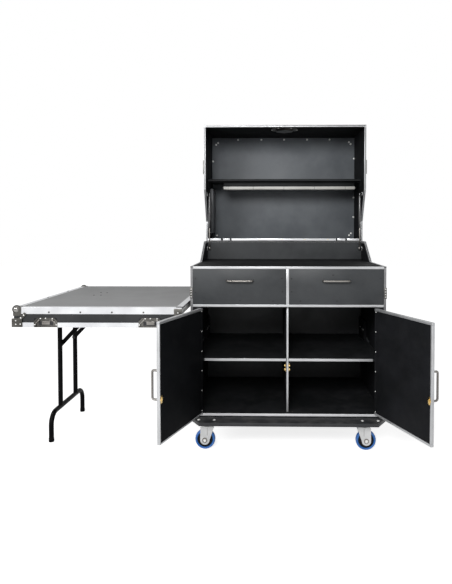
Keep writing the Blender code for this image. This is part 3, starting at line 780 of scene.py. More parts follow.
makeCaseEdging()
makeRails()
places = [spot(x, y, cupboardFixings["z"]) for x, y in cupboardFixings["places"]]
fitHeads("cupboard_fixings", places, (0, 0, 1), cupboardFixings["size"], "nickel", "case")
for side, sign in sides.items():
    makeKeeper(side, sign)
makeCatch()
for side, sign in sides.items():
    makeGrip(side, sign)
finishNode("worktop", "worktopPaintedShade", "case", fineEdge)
finishNode("dolly_board", "dollyBoard", "case", dollyEdge)
print("case body made")

castor = {
    "x": {"left": -0.397, "right": 0.371}, "y": (-0.010, 0.620), "trail": 0.012, "radius": 0.050,
    "tyreInner": 0.0355, "width": 0.033, "centreWidth": 0.027, "rimWide": 0.003, "dish": (0.004, 0.018, 0.0095),
    "forkTop": 0.1204, "forkHalf": 0.0255, "legEnd": 0.0225, "crown": 0.0345, "crownDeep": 0.006, "flat": 0.12,
    "above": 0.0005, "over": 0.0008, "sheet": 0.003, "crownSoft": 0.001, "washer": (0.0014, 0.0130, 0.0005),
    "nut": (0.0045, 0.0078, 0.0010), "nutOut": 0.001, "rib": 0.0010, "ribY": (-0.0004, 0.0006),
    "ribZ": (0.074, 0.1140), "boltX": (0.3613, 0.4372), "boltY": -0.045, "boardTop": 0.1543,
    "boltSize": (0.0074, 0.0042),
}


# one fork leg: a plate with a round end at the axle that widens to the crown
def makeForkLeg(axle, y, lean):
    bpy.ops.mesh.primitive_circle_add(vertices=32, radius=castor["legEnd"], fill_type="NGON")
    leg = bpy.context.object
    leg.matrix_world = standing(Vector((axle.x, y, axle.z)), -north)
    settle(leg)
    top = castor["forkTop"] - castor["crownDeep"]
    wider = castor["crown"] / castor["legEnd"]
    enterEdit(leg)
    pickVerts(leg, lambda p: p.z > axle.z + castor["above"])
    bpy.ops.transform.resize(value=(wider, 1, castor["flat"]), center_override=(axle.x, y, axle.z))
    bpy.ops.transform.translate(value=(lean, 0, top - axle.z))
    bpy.ops.mesh.select_all(action="SELECT")
    extrude(north * castor["sheet"])
    bpy.ops.mesh.select_all(action="SELECT")
    bpy.ops.mesh.normals_make_consistent(inside=False)
    leaveEdit()
    return leg


def makeWheel(name, axle):
    outer, hole = castor["radius"], castor["tyreInner"]
    bpy.ops.mesh.primitive_torus_add(
        major_segments=56, minor_segments=16, major_radius=(outer + hole) / 2, minor_radius=(outer - hole) / 2
    )
    tyre = bpy.context.object
    tyre.name = f"tyre_{name}"
    tyre.scale.z = castor["width"] / (outer - hole)
    settle(tyre)
    bpy.ops.mesh.primitive_cylinder_add(vertices=48, radius=hole + castor["over"], depth=castor["centreWidth"])
    centre = bpy.context.object
    centre.name = f"wheel_centre_{name}"
    groove, hub, rise = castor["dish"]
    enterEdit(centre)
    for way in (1, -1):
        pickFaces(centre, (0, 0, way))
        bpy.ops.mesh.inset(thickness=castor["rimWide"])
        extrude(-way * up * groove)
        bpy.ops.mesh.inset(thickness=hub)
        extrude(way * up * rise)
    leaveEdit()
    for piece, finish, smooth in ((tyre, "blueTyre", 60), (centre, "wheelCentre", 40)):
        piece.matrix_world = standing(axle, north)
        settle(piece)
        dressFor(f"wheel_{name}", piece, finish, f"roller_{name}", smooth)


def makeCastor(name, x, y, sign):
    lean = -sign * castor["trail"]
    axle = spot(x - lean, y, castor["radius"])
    half, deep, sheet = castor["forkHalf"], castor["crownDeep"], castor["sheet"]
    makeWheel(name, axle)
    fork = [
        makeForkLeg(axle, axle.y - half, lean),
        makeForkLeg(axle, axle.y + half - sheet, lean),
        pin("crown", spot(x, y, castor["forkTop"] - deep), up * deep, castor["crown"], castor["crownSoft"], 40),
    ]
    washers, nuts = [], []
    for way in (-north, north):
        thick, radius, soft = castor["washer"]
        washers.append(pin("washer", axle + way * half, way * thick, radius, soft))
        thick, radius, soft = castor["nut"]
        nuts.append(pin("nut", axle + way * (half + castor["nutOut"]), way * thick, radius, soft, 6))
    for part, shape, finish in (
        ("fork", fork, "zincSheet"), ("washer", washers, "satinSteel"), ("nut", nuts, "brightHead"),
    ):
        dressFor(f"castor_fork_{name}", joinAll(f"{part}_{name}", shape), finish, f"swivel_{name}", 40)
    # a thin darker strip down the front fork leg: painted shade along the bend in its sheet
    rib = castor["rib"]
    creaseShade = slab(
        f"fork_crease_{name}", (x - rib, x + rib), [y - half + past for past in castor["ribY"]], castor["ribZ"],
        trimEdge,
    )
    dress(creaseShade, "satinSteel", f"swivel_{name}")
    finishNode(f"castor_plate_{name}", "zincSheet", "case", sheetEdge)
    if y == castor["y"][0]:
        places = [spot(sign * bolt, castor["boltY"], castor["boardTop"]) for bolt in castor["boltX"]]
        fitHeads(f"dolly_bolts_{name}", places, (0, 0, 1), castor["boltSize"], "brightHead", "case")


for row, y in zip(("front", "rear"), castor["y"]):
    for side, sign in sides.items():
        makeCastor(f"{row}_{side}", castor["x"][side], y, sign)
print("castors made")

drawers = {
    "left": {
        "handle": (-0.307, -0.170),
        "screws": [(-0.457, 0.844), (-0.457, 0.777), (-0.415, 0.7325), (-0.237, 0.735), (-0.074, 0.733),
                   (-0.030, 0.847), (-0.028, 0.780)],
    },
    "right": {
        "handle": (0.1665, 0.306),
        "screws": [(0.017, 0.844), (0.017, 0.780), (0.220, 0.862), (0.061, 0.733), (0.240, 0.7335),
                   (0.452, 0.846)],
    },
}
handleShape = {"z": 0.833, "reach": 0.026, "radius": 0.005, "bend": 0.009, "screwSize": (0.0042, 0.0012)}


def makeDrawer(side):
    body = f"drawer_{side}"
    finishNode(f"drawer_front_{side}", "laminate", body, frontEdge)
    finishNode(f"drawer_box_{side}", "insidePaintedShade", body, sheetEdge)
    first, second = drawers[side]["handle"]
    z, radius = handleShape["z"], handleShape["radius"]
    points = archPoints(
        spot(first + radius, 0, z), spot(second - radius, 0, z), -north * handleShape["reach"], handleShape["bend"]
    )
    pull = barAlong(f"drawer_pull_{side}", points, radius)
    dressFor(f"drawer_handle_{side}", pull, "satinSteel", body, 50)
    places = [spot(x, 0, z) for x, z in drawers[side]["screws"]]
    fitHeads(f"drawer_screws_{side}", places, (0, -1, 0), handleShape["screwSize"], "darkScrew", body)


# each door's panel and stile take a darker copy of the laminate, painted shade, the left door's darker than the
# right's
doors = {
    "left": {
        "pin": -0.4345, "free": -0.0040, "turn": -108.0, "finish": "deepPaintedShade",
        "lowRim": 0.0075, "freeRim": 0.0060,
    },
    "right": {
        "pin": 0.4378, "free": -0.0012, "turn": 111.3, "finish": "darkPaintedShade",
        "lowRim": 0.0115, "freeRim": 0.0085,
    },
}
doorShape = {
    "thick": 0.0145, "rim": 0.0115, "sunk": 0.0012, "inset": 0.003, "play": 0.001, "handleIn": 0.022,
    "handleZ": (0.3596, 0.485), "reach": 0.034, "strikeIn": 0.0135, "strikeZ": (0.3500, 0.383), "screwIn": 0.0115,
    "screwZ": (0.6825, 0.584, 0.486, 0.389, 0.291, 0.190), "screwSize": (0.0034, 0.0016),
}
# a strike plate's pieces: half width, height over the door, how far its ends stay in, softness
strikeShape = {
    "plate": (0.0075, 0.0014, 0, 0.0004), "arm": (0.0115, 0.0018, 0.011, 0.0006),
    "tongue": (0.003, 0.005, 0.008, 0.0012),
}
pianoHinge = {
    "knuckles": 20, "length": 0.0252, "pitch": 0.0260, "radius": 0.0022, "first": 0.1735, "y": -0.0016,
    "leafX": (0.0025, 0.0150), "leafY": (-0.0005, 0.0004), "leafEnd": 0.001,
}


# turns a piece drawn on the shut door to where the door stands
def swingOpen(piece, side):
    place = spot(doors[side]["pin"], 0, 0)
    turn = Matrix.Rotation(math.radians(doors[side]["turn"]), 4, "Z")
    piece.matrix_world = Matrix.Translation(place) @ turn @ Matrix.Translation(-place)
    settle(piece)
    return piece


def makeDoorLeaf(side, sign):
    door = doors[side]
    thick, rim, sunk, inset = (doorShape[key] for key in ("thick", "rim", "sunk", "inset"))
    hingeEdge, free = door["pin"] - sign * doorShape["play"], door["free"]
    low, high = sorted((hingeEdge, free))
    bottom, top = doorZ
    through, between = (0, thick), (bottom + door["lowRim"], top - rim)
    panel = slab(
        f"door_panel_{side}", (low + inset, high - inset), (sunk, thick - sunk), (bottom + inset, top - inset),
        fineEdge,
    )
    frameStrip = joinAll(f"door_channel_{side}", [
        slab("top", (low, high), through, (top - rim, top), doorEdge),
        slab("bottom", (low, high), through, (bottom, between[0]), doorEdge),
        slab("free", (free, free + sign * door["freeRim"]), through, between, doorEdge),
    ])
    stile = slab(f"door_stile_{side}", (hingeEdge, hingeEdge - sign * rim), through, between, doorEdge)
    for piece, finish in ((panel, door["finish"]), (frameStrip, "extrusion"), (stile, door["finish"])):
        dressFor(f"door_{side}", swingOpen(piece, side), finish, f"door_{side}_leaf")


def makeDoorFittings(side, sign):
    body, free, thick = f"door_{side}_leaf", doors[side]["free"], doorShape["thick"]
    x = free + sign * doorShape["handleIn"]
    first, second = (spot(x, 0, z) for z in doorShape["handleZ"])
    points = archPoints(first, second, -north * doorShape["reach"], handleShape["bend"])
    pull = swingOpen(barAlong(f"door_pull_{side}", points, handleShape["radius"]), side)
    dressFor(f"door_handle_{side}", pull, "satinSteel", body, 50)
    x = free + sign * doorShape["strikeIn"]
    low, high = doorShape["strikeZ"]
    strike = joinAll(f"door_strike_{side}", [
        slab(part, (x - half, x + half), (thick, thick + rise), (low + end, high - end), soft)
        for part, (half, rise, end, soft) in strikeShape.items()
    ])
    dress(swingOpen(strike, side), "brass", body)
    places = [spot(doors[side]["pin"] - sign * doorShape["screwIn"], thick, z) for z in doorShape["screwZ"]]
    screws = studs(f"hinge_screws_{side}", places, (0, 1, 0), *doorShape["screwSize"])
    dress(swingOpen(screws, side), "brightHead", body, 60)


def makePianoHinge(side, sign):
    x = doors[side]["pin"]
    knuckle = pin("knuckle", Vector((0, 0, 0)), up * pianoHinge["length"], pianoHinge["radius"], fineEdge, 12)
    places = [
        Matrix.Translation(spot(x, pianoHinge["y"], pianoHinge["first"] + step * pianoHinge["pitch"]))
        for step in range(pianoHinge["knuckles"])
    ]
    dress(joinCopies(f"hinge_knuckles_{side}", knuckle, places), "darkScrew", "case", 50)
    end = pianoHinge["leafEnd"]
    leaf = slab(
        f"hinge_leaf_{side}", [x + sign * past for past in pianoHinge["leafX"]], pianoHinge["leafY"],
        (doorZ[0] + end, doorZ[1] - end), trimEdge,
    )
    dress(leaf, "darkScrew", "case")


for side, sign in sides.items():
    makeDrawer(side)
    makeDoorLeaf(side, sign)
    makeDoorFittings(side, sign)
    makePianoHinge(side, sign)
print("drawers and doors made")

lid = {
    "near": 0.6914, "far": 0.984, "low": 1.0152, "high": 1.7052, "rim": 0.5799, "slopeZ": (1.1332, 1.3238),
    "frontWall": 0.0125, "topWall": 0.0099, "sunk": 0.0015, "leg": 0.026, "foot": 0.0093, "gap": 0.0003,
    "rimFoot": 0.001,
}


def makeLidBoards():
    wide, sunk, gap = inner - lid["gap"], lid["sunk"], lid["gap"]
    far, high, ceiling = lid["far"], lid["high"], lid["high"] - lid["frontWall"]
    roof = slab("lid_roof_board", (-wide, wide), (lid["rim"], far - sunk), (ceiling, high - sunk), boardEdge)
    dressFor("lid_front", roof, "worktopPaintedShade", "lid")
    backZ = (lid["low"] + lid["foot"], ceiling - gap)
    back = slab("lid_back_board", (-wide, wide), (far - lid["topWall"], far - sunk), backZ, boardEdge)
    # the back board takes the paler copy of the laminate, painted light
    dressFor("lid_top", back, "lidPaintedLight", "lid")
    finishNode("lid_rear", "worktopPaintedShade", "lid", boardEdge)
    finishNode("lid_shelf", "insidePaintedShade", "lid", frontEdge)


def makeLidEdging():
    outer, cover = halfWidth + edging["proud"], edging["cover"]
    leg, far, high, low, rim = lid["leg"], lid["far"], lid["high"], lid["low"], lid["rim"]
    across, south = 2 * outer * east, -north * leg
    strips = [
        angleStrip(spot(-outer, far, high), across, south, -up * leg),
        angleStrip(spot(-outer, far, low), across, south, up * leg),
    ]
    for sign in sides.values():
        inward = -sign * east * leg
        top = spot(sign * outer, rim + cover, high)
        strips.append(angleStrip(top, north * (far - rim - cover), inward, -up * leg))
        strips.append(angleStrip(spot(sign * outer, far, low), up * (high - low), inward, south))
    dress(joinAll("lid_extrusions", strips), "extrusion", "lid")
    wall, y = lid["frontWall"], rim - lid["gap"]
    strips = [channel(spot(-outer, y, high - wall / 2), spot(outer, y, high - wall / 2), wall, north * cover)]
    foot, head = lid["slopeZ"]
    for sign in sides.values():
        strips += rimChannels(
            sign, [(rim, high - wall), (rim, head), (lid["near"], foot), (lid["near"], low + lid["rimFoot"])], -1
        )
    dress(joinAll("lid_rim_channel", strips), "extrusion", "lid")


lidScrews = {
    "places": [
        (-0.300, 1.681), (-0.145, 1.681), (0.006, 1.681), (0.159, 1.681), (0.308, 1.681), (-0.446, 1.648),
        (-0.433, 1.661), (0.437, 1.664), (0.447, 1.651), (-0.4415, 1.045), (0.441, 1.046), (0.453, 1.059),
        (-0.467, 1.538), (0.470, 1.555), (0.468, 1.297), (0.468, 1.1675),
    ],
    "size": (0.0066, 0.0030),
}
lidDish = {
    "radius": 0.086, "y": 0.672, "drop": 0.012, "flange": (0.001, 0.0022), "taper": (0.78, 0.62), "rivet": 0.076,
    "rivetDrop": 0.0012, "rivetSize": (0.0045, 0.003), "corners": 6, "soft": 0.0005,
}
lidLatch = {"y": (0.600, 0.690), "z": (1.417, 1.500), "proud": 0.0085, "rim": 0.008, "sunk": 0.006, "soft": 0.003}


# the six-cornered pressed dish under the lid's roof
def makeLidDish():
    radius, y, drop, corners = (lidDish[key] for key in ("radius", "y", "drop", "corners"))
    ceiling = lid["high"] - lid["frontWall"]
    over, thick = lidDish["flange"]
    flange = pin("flange", spot(0, y, ceiling + over), -up * thick, radius, lidDish["soft"], corners)
    wide, narrow = (radius * share for share in lidDish["taper"])
    bpy.ops.mesh.primitive_cone_add(vertices=corners, radius1=wide, radius2=narrow, depth=drop)
    bowl = bpy.context.object
    bowl.matrix_world = standing(spot(0, y, ceiling - drop / 2), -up)
    settle(bowl)
    dress(joinAll("lid_dish_back", [flange, bowl]), "nickel", "lid")
    angles = [2 * math.pi * step / corners for step in range(corners)]
    ring, z = lidDish["rivet"], ceiling - lidDish["rivetDrop"]
    places = [spot(ring * math.cos(angle), y + ring * math.sin(angle), z) for angle in angles]
    fitHeads("lid_dish_rivets", places, (0, 0, -1), lidDish["rivetSize"], "brightHead", "lid")


def makeLidFittings():
    places = [spot(x, lid["far"] - lid["topWall"], z) for x, z in lidScrews["places"]]
    fitHeads("lid_screws", places, (0, -1, 0), lidScrews["size"], "brightHead", "lid")
    makeLidDish()
    for side, sign in sides.items():
        x = (sign * halfWidth, sign * (halfWidth + lidLatch["proud"]))
        pan = slab(f"lid_latch_{side}", x, lidLatch["y"], lidLatch["z"], lidLatch["soft"])
        enterEdit(pan)
        pickFaces(pan, (sign, 0, 0))
        bpy.ops.mesh.inset(thickness=lidLatch["rim"])
        extrude(-sign * east * lidLatch["sunk"])
        leaveEdit()
        dress(pan, "nickel", "lid")


lamp = {
    "joints": (-0.348, -0.192, -0.0015, 0.187, 0.378), "band": 0.0012, "over": 0.0003, "x": (-0.377, 0.4386),
    "y": (0.720, 0.800), "z": (1.333, 1.352), "stemY": (0.745, 0.775), "stemTop": 1.3837,
    "soft": 0.003, "stemSoft": 0.001, "bandSoft": 0.002,
}
hingeRail = {
    "ends": (-0.4714, -0.390, -0.3775, -0.334, -0.325, 0.318, 0.327, 0.376, 0.386, 0.459), "z": (1.0152, 1.0295),
    "y": (0.6852, 0.6904), "screws": (-0.155, -0.014, 0.128, 0.269), "size": (0.003, 0.0008),
}


def makeLamp():
    (near, far), (bottom, top), over = lamp["y"], lamp["z"], lamp["over"]
    housing = slab("lamp_housing", lamp["x"], (near, far), (bottom, top), lamp["soft"], 3)
    dressFor("light_bar", housing, "lampHousing", "lid")
    stem = slab("lamp_stem", lamp["x"], lamp["stemY"], (top, lamp["stemTop"]), lamp["stemSoft"])
    # the stem takes the darker inside copy, painted shade under the shelf
    dressFor("light_bar", stem, "insidePaintedShade", "lid")
    bands = [
        slab(
            "band", (x - lamp["band"], x + lamp["band"]), (near - over, far), (bottom - over, top + over),
            lamp["bandSoft"],
        )
        for x in lamp["joints"]
    ]
    dress(joinAll("lamp_joints", bands), "darkScrew", "lid")


# the rail along the lid's hinge, in pieces with gaps between them
def makeHingeRail():
    ends, (near, far), (bottom, top) = hingeRail["ends"], hingeRail["y"], hingeRail["z"]
    bars = [slab("bar", reach, (near, far), (bottom, top)) for reach in zip(ends[::2], ends[1::2])]
    dressFor("hinge_rail", joinAll("lid_hinge_rail", bars), "tableExtrusion", "lid")
    places = [spot(x, near, (bottom + top) / 2) for x in hingeRail["screws"]]
    fitHeads("hinge_rail_screws", places, (0, -1, 0), hingeRail["size"], "brass", "lid")


strut = {
    "x": 0.4585, "top": (0.660, 1.300), "bottom": (0.665, 0.968), "radius": 0.008, "length": 0.205, "rod": 0.0036,
    "neck": (-0.006, 0.014, 0.72), "start": 0.012, "overlap": (0.02, 0.006), "socket": (0.008, 0.0145, 0.006),
    "bracket": 0.012, "sheet": 0.002, "stud": (0.0004, 0.0055), "soft": 0.0016,
}


def makeStrut(side, sign):
    x, radius, length, soft = sign * strut["x"], strut["radius"], strut["length"], strut["soft"]
    top, bottom = spot(x, *strut["top"]), spot(x, *strut["bottom"])
    down, start = (bottom - top).normalized(), strut["start"]
    first, last, share = strut["neck"]
    barrel = joinAll(f"strut_barrel_{side}", [
        pin("tube", top + down * start, down * (length - start), radius, soft, 24),
        pin("neck", top + down * first, down * (last - first), radius * share, soft),
    ])
    dressFor(f"strut_cylinder_{side}", barrel, "strutBlack", f"cylinder_{side}", 40)
    inside, short = strut["overlap"]
    back, long, socket = strut["socket"]
    reach = (bottom - top).length - length + inside - short
    rod = joinAll(f"strut_piston_{side}", [
        pin("rod", top + down * (length - inside), down * reach, strut["rod"], sheetEdge, 16),
        pin("socket", bottom - down * back, down * long, socket, soft),
    ])
    dressFor(f"strut_rod_{side}", rod, "satinSteel", f"rod_{side}", 40)
    half, wall, (past, stud) = strut["bracket"], sign * inner, strut["stud"]
    across, sheet = x + sign * (radius + past) - wall, (wall, wall - sign * strut["sheet"])
    for name, (y, z), body in (("upper", strut["top"], "lid"), ("lower", strut["bottom"], "case")):
        bracket = joinAll(f"strut_bracket_{name}_{side}", [
            slab("plate", sheet, (y - half, y + half), (z - half, z + half), sheetEdge),
            pin("stud", spot(wall, y, z), across * east, stud, softEdge),
        ])
        dress(bracket, "zincSheet", body, 40)


makeLidBoards()
makeLidEdging()
makeLidFittings()
makeLamp()
finishNode("cable_duct", "trunking", "lid", ductEdge)
makeHingeRail()
for side, sign in sides.items():
    makeStrut(side, sign)
print("lid and struts made")

table = {
    "x": (-1.2905, -0.4996), "y": (-0.160, 0.803), "z": (0.6274, 0.7218), "wall": 0.009, "sunk": 0.0010,
    "upper": 0.0318, "lower": 0.0226, "flange": 0.029, "foot": 0.0095, "proud": 0.0004, "stripX": 0.0006,
    "stripEnd": 0.001, "innerShare": 0.1, "innerZ": (0.6893, 0.7145),
}
tableLatch = {
    "x": {"outer": -1.139, "inner": -0.647}, "z": (0.6282, 0.6724), "y": (-0.0014, 0.0058), "half": 0.0555,
    "past": 0.01, "recess": 0.053, "top": 0.6695, "deep": 0.006, "corner": 0.017, "rim": 0.0075,
    "lips": (0.0003, 0.0034), "sunk": 0.0062, "clip": (0.012, (0.0038, 0.0052), (0.6564, 0.6684)),
    "armX": 0.0385, "armY": -0.0016,
    "armZ": 0.6547, "arm": (0.0025, 0.0010, 0.0140), "armTilt": 48,
    # the sheet of painted shade under the wing: half width, depth behind the front, heights
    "shadeSheet": (0.034, (0.0046, 0.0052), (0.6357, 0.6554)),
}


def latchRecesses():
    near, low, half = table["y"][0], table["z"][0], tableLatch["recess"]
    past = tableLatch["past"]
    reachY, reachZ = (near - past, near + tableLatch["deep"]), (low - past, tableLatch["top"])
    return [((x - half, x + half), reachY, reachZ) for x in tableLatch["x"].values()]


def makeTableBoards():
    (left, right), (near, far), (low, high) = table["x"], table["y"], table["z"]
    wall, sunk = table["wall"], table["sunk"]
    for name, y in (("front", (near + sunk, near + wall)), ("rear", (far - wall, far - sunk))):
        piece = slab(f"table_{name}_board", (left + sunk, right - sunk), y, (low + sunk, high - sunk), fineEdge)
        if name == "front":
            cutOut(piece, latchRecesses())
        dressFor(f"table_{name}", piece, "bandLaminate", "table")


def makeTableEdging():
    (left, right), (near, far), (low, high) = table["x"], table["y"], table["z"]
    proud, flange = table["proud"], table["flange"]
    x0, x1, y0, y1 = left - proud, right + proud, near - proud, far + proud
    wide, deep = east * (x1 - x0), north * (y1 - y0)
    rise, drop = up * table["lower"], -up * table["upper"]
    strips = []
    for z, wall, leg in ((high + proud, drop, flange), (low, rise, table["foot"])):
        front = angleStrip(spot(x0, y0, z), wide, wall, north * leg)
        if wall is rise:
            cutOut(front, latchRecesses())
        strips += [
            front,
            angleStrip(spot(x0, y1, z), wide, wall, -north * leg),
            angleStrip(spot(x0, y0, z), deep, wall, east * leg),
        ]
    strips.append(angleStrip(spot(x1, y0, high + proud), deep, drop * table["innerShare"], -east * flange))
    end = table["stripEnd"]
    # the inner strip takes the pale head finish: painted light on a strip that faces away from the lamps
    inside = slab(
        "table_inner_strip", (right - table["stripX"], x1), (near + end, far - end), table["innerZ"], fineEdge
    )
    dress(inside, "brightHead", "table")
    dress(joinAll("table_extrusions", strips), "tableExtrusion", "table")


# a ball corner: places from the table's left edge, and from its top where they are small
ball = {
    "radius": 0.0194, "inset": 0.0103, "drop": 0.0106, "plateLow": 0.6815, "back": 0.036, "outer": 0.0018,
    "front": ((-0.0016, 0.0368), (0.0006, 0.0022)), "end": (-0.0018, -0.0004), "over": 0.0006,
    "roof": ((-0.0016, 0.034), (0.0003, 0.0018)), "strap": (0.021, 0.0012, 0.0075), "strapAt": (0.0425, 0.6785),
    "strapOut": 0.0008, "strapTilt": -46, "rivets": [(0.0493, 0.6848), (0.0355, 0.6715)], "rivetOut": 0.001,
    "rivetSize": (0.0040, 0.0026),
}


# a flat bar centred on a place and tilted about Y
def tiltedBar(name, half, place, degrees):
    bar = board(name, -Vector(half), half, sheetEdge)
    bar.matrix_world = Matrix.Translation(place) @ Matrix.Rotation(math.radians(degrees), 4, "Y")
    settle(bar)
    return bar


# a chrome ball corner with its three plates and the strap across the front
def makeBallCorner(name, face, way):
    left, high = table["x"][0], table["z"][1]
    centre = spot(left + ball["inset"], face - way * ball["inset"], high - ball["drop"])
    bpy.ops.mesh.primitive_uv_sphere_add(segments=28, ring_count=18, radius=ball["radius"], location=centre)
    piece = bpy.context.object
    piece.name = f"corner_ball_{name}"
    settle(piece)
    (frontX, frontY), (roofX, roofZ), upright = ball["front"], ball["roof"], (ball["plateLow"], high + ball["over"])
    back = (face, face - way * ball["back"])
    plates = [
        slab("front", [left + x for x in frontX], [face + way * y for y in frontY], upright, frontEdge),
        slab("end", [left + x for x in ball["end"]], back, upright, sheetEdge),
        slab("roof", [left + x for x in roofX], back, [high + z for z in roofZ], sheetEdge),
    ]
    outer, (x, z) = face + way * ball["outer"], ball["strapAt"]
    strap = tiltedBar("strap", ball["strap"], spot(left + x, outer + way * ball["strapOut"], z), ball["strapTilt"])
    dress(piece, "chrome", "table", 40)
    dress(joinAll(f"ball_corner_{name}", [strap] + plates), "nickel", "table", 40)
    places = [spot(left + x, outer + way * ball["rivetOut"], z) for x, z in ball["rivets"]]
    fitHeads(f"corner_rivets_{name}", places, (0, way, 0), ball["rivetSize"], "brightHead", "table")


tableBits = {
    "lowerX": (-1.2989, -1.2486), "lowerZ": (0.6284, 0.6696), "lowerOut": 0.0040, "lowerBack": 0.040,
    "endSoft": 0.0012, "lowerSoft": 0.0018,
    "endX": (0.006, 0.0095), "rightX": (-0.5367, -0.4992), "rightZ": (0.6782, 0.7162), "rightY": (0.0020, 0.0002),
    "lowerRivets": [(-1.2788, 0.6590), (-1.2788, 0.6420), (-1.2573, 0.6430)], "rightRivet": (-0.5180, 0.6972),
    "latchRivets": [(-0.024, 0.6690), (0, 0.6700), (0.032, 0.6690), (-0.051, 0.6400), (0.050, 0.6400)],
    "railX": (-1.1232, -0.9753, -0.8274, -0.6794), "railZ": 0.6987,
    "bolts": [(-1.0616, 0.3098), (-1.0226, 0.3108), (-1.0586, 0.4290), (-1.0226, 0.4290)],
    "flangeRivets": [(-1.276, 0.2100), (-1.276, 0.5027)],
    "outs": {"right": 0.0018, "lower": 0.0038, "latch": 0.0012}, "frontSize": (0.0034, 0.0022),
    "railSize": (0.0044, 0.0024), "topSize": (0.0050, 0.0026), "boltSize": (0.0055, 0.0022),
}


def makeTableBrackets():
    x0, x1 = tableBits["lowerX"]
    out, lowerZ = tableBits["lowerOut"], tableBits["lowerZ"]
    corners, brackets = [], []
    for face, way in zip(table["y"], (-1, 1)):
        back = (face + way * out, face - way * tableBits["lowerBack"])
        corners.append(slab("end", [x0 + x for x in tableBits["endX"]], back, lowerZ, tableBits["endSoft"]))
        corners.append(slab("front", (x0, x1), (face + way * out, face), lowerZ, tableBits["lowerSoft"], 3))
        cover = [face + way * y for y in tableBits["rightY"]]
        brackets.append(slab("bracket", tableBits["rightX"], cover, tableBits["rightZ"]))
    dress(joinAll("lower_corners", corners), "nickel", "table")
    dress(joinAll("right_brackets", brackets), "nickel", "table")


def makeTableHeads():
    near, high, proud = table["y"][0], table["z"][1], table["proud"]
    outs = tableBits["outs"]
    x, z = tableBits["rightRivet"]
    front = [spot(x, near - outs["right"], z)]
    front += [spot(x, near - outs["lower"], z) for x, z in tableBits["lowerRivets"]]
    for x in tableLatch["x"].values():
        front += [spot(x + across, near - outs["latch"], z) for across, z in tableBits["latchRivets"]]
    rail = [spot(x, near - proud, tableBits["railZ"]) for x in tableBits["railX"]]
    flat = [spot(x, y, high + proud) for x, y in tableBits["flangeRivets"]]
    bolts = [spot(x, y, high) for x, y in tableBits["bolts"]]
    for name, places, normal, size, finish in (
        ("table_rivets_front", front, -north, "frontSize", "brightHead"),
        ("table_rail_rivets", rail, -north, "railSize", "nickel"),
        ("table_rivets_top", flat, up, "topSize", "darkScrew"),
        ("table_bolts", bolts, up, "boltSize", "darkScrew"),
    ):
        fitHeads(name, places, normal, tableBits[size], finish, "table")


# a pressed pan with its two upper corners cut off; its mouth opens to the front and reaches down to
# the table's edge, so that the wing has room to turn
def frontPan(x, y, z):
    corner, rim, (foot, head) = tableLatch["corner"], tableLatch["rim"], tableLatch["lips"]
    low, high = z
    bpy.ops.mesh.primitive_cube_add(size=1, location=(spot(x[0], y[0], low) + spot(x[1], y[1], high)) / 2)
    pan = bpy.context.object
    pan.scale = (x[1] - x[0], y[1] - y[0], high - low)
    settle(pan)
    enterEdit(pan)
    bpy.ops.mesh.select_mode(type="EDGE")
    bpy.ops.mesh.select_all(action="DESELECT")
    for edge in bmesh.from_edit_mesh(pan.data).edges:
        along = (edge.verts[1].co - edge.verts[0].co).normalized()
        edge.select_set(abs(along.y) > 0.9 and edge.verts[0].co.z > (low + high) / 2)
    bmesh.update_edit_mesh(pan.data)
    bpy.ops.mesh.bevel(offset=corner, segments=1, affect="EDGES")
    pickFaces(pan, (0, -1, 0))
    bpy.ops.mesh.inset(thickness=rim)
    stretch = (high - low - foot - head) / (high - low - 2 * rim)
    middle = (low + foot - stretch * (low + rim)) / (1 - stretch)
    bpy.ops.transform.resize(value=(1, 1, stretch), center_override=(0, 0, middle))
    extrude(north * tableLatch["sunk"])
    leaveEdit()
    return pan


def makeTableLatch(name, x):
    near, half = table["y"][0], tableLatch["half"]
    dish = frontPan((x - half, x + half), [near + y for y in tableLatch["y"]], tableLatch["z"])
    wide, reachY, reachZ = tableLatch["clip"]
    clip = slab("clip", (x - wide, x + wide), [near + y for y in reachY], reachZ, boardEdge)
    out, rise, tilt = tableLatch["armX"], tableLatch["armZ"], tableLatch["armTilt"]
    arms = [
        tiltedBar("arm", tableLatch["arm"], spot(x + way * out, near + tableLatch["armY"], rise), -way * tilt)
        for way in (-1, 1)
    ]
    dress(joinAll(f"latch_arms_{name}", arms), "satinSteel", "table")
    # a dark sheet over the dish's floor under the wing: painted shade in the hollow
    wide, reachY, reachZ = tableLatch["shadeSheet"]
    shadeSheet = slab(f"latch_painted_shade_{name}", (x - wide, x + wide), [near + y for y in reachY], reachZ, thinEdge)
    dress(shadeSheet, "darkScrew", "table")
    dress(joinAll(f"latch_dish_{name}", [dish, clip]), "nickel", "table")
    finishNode(f"latch_wing_{name}", "satinSteel", f"latch_{name}", sheetEdge)


makeTableBoards()
makeTableEdging()
for name, face, way in zip(("front", "rear"), table["y"], (-1, 1)):
    makeBallCorner(name, face, way)
makeTableBrackets()
makeTableHeads()
for name, x in tableLatch["x"].items():
    makeTableLatch(name, x)
print("side table made")

leg = {
    "x": -1.207, "top": 0.696, "uprightY": (0.190, 0.416), "uprightRadius": 0.0122, "footY": (0.061, 0.530),
    "footRadius": 0.0125, "crossbarZ": 0.142, "bend": 0.060, "tubeFoot": 0.004, "shoe": (0.020, 0.0012, 0.0015),
    "braceZ": 0.470, "knob": (0.0145, 0.006, 0.008, 0.0014),
}


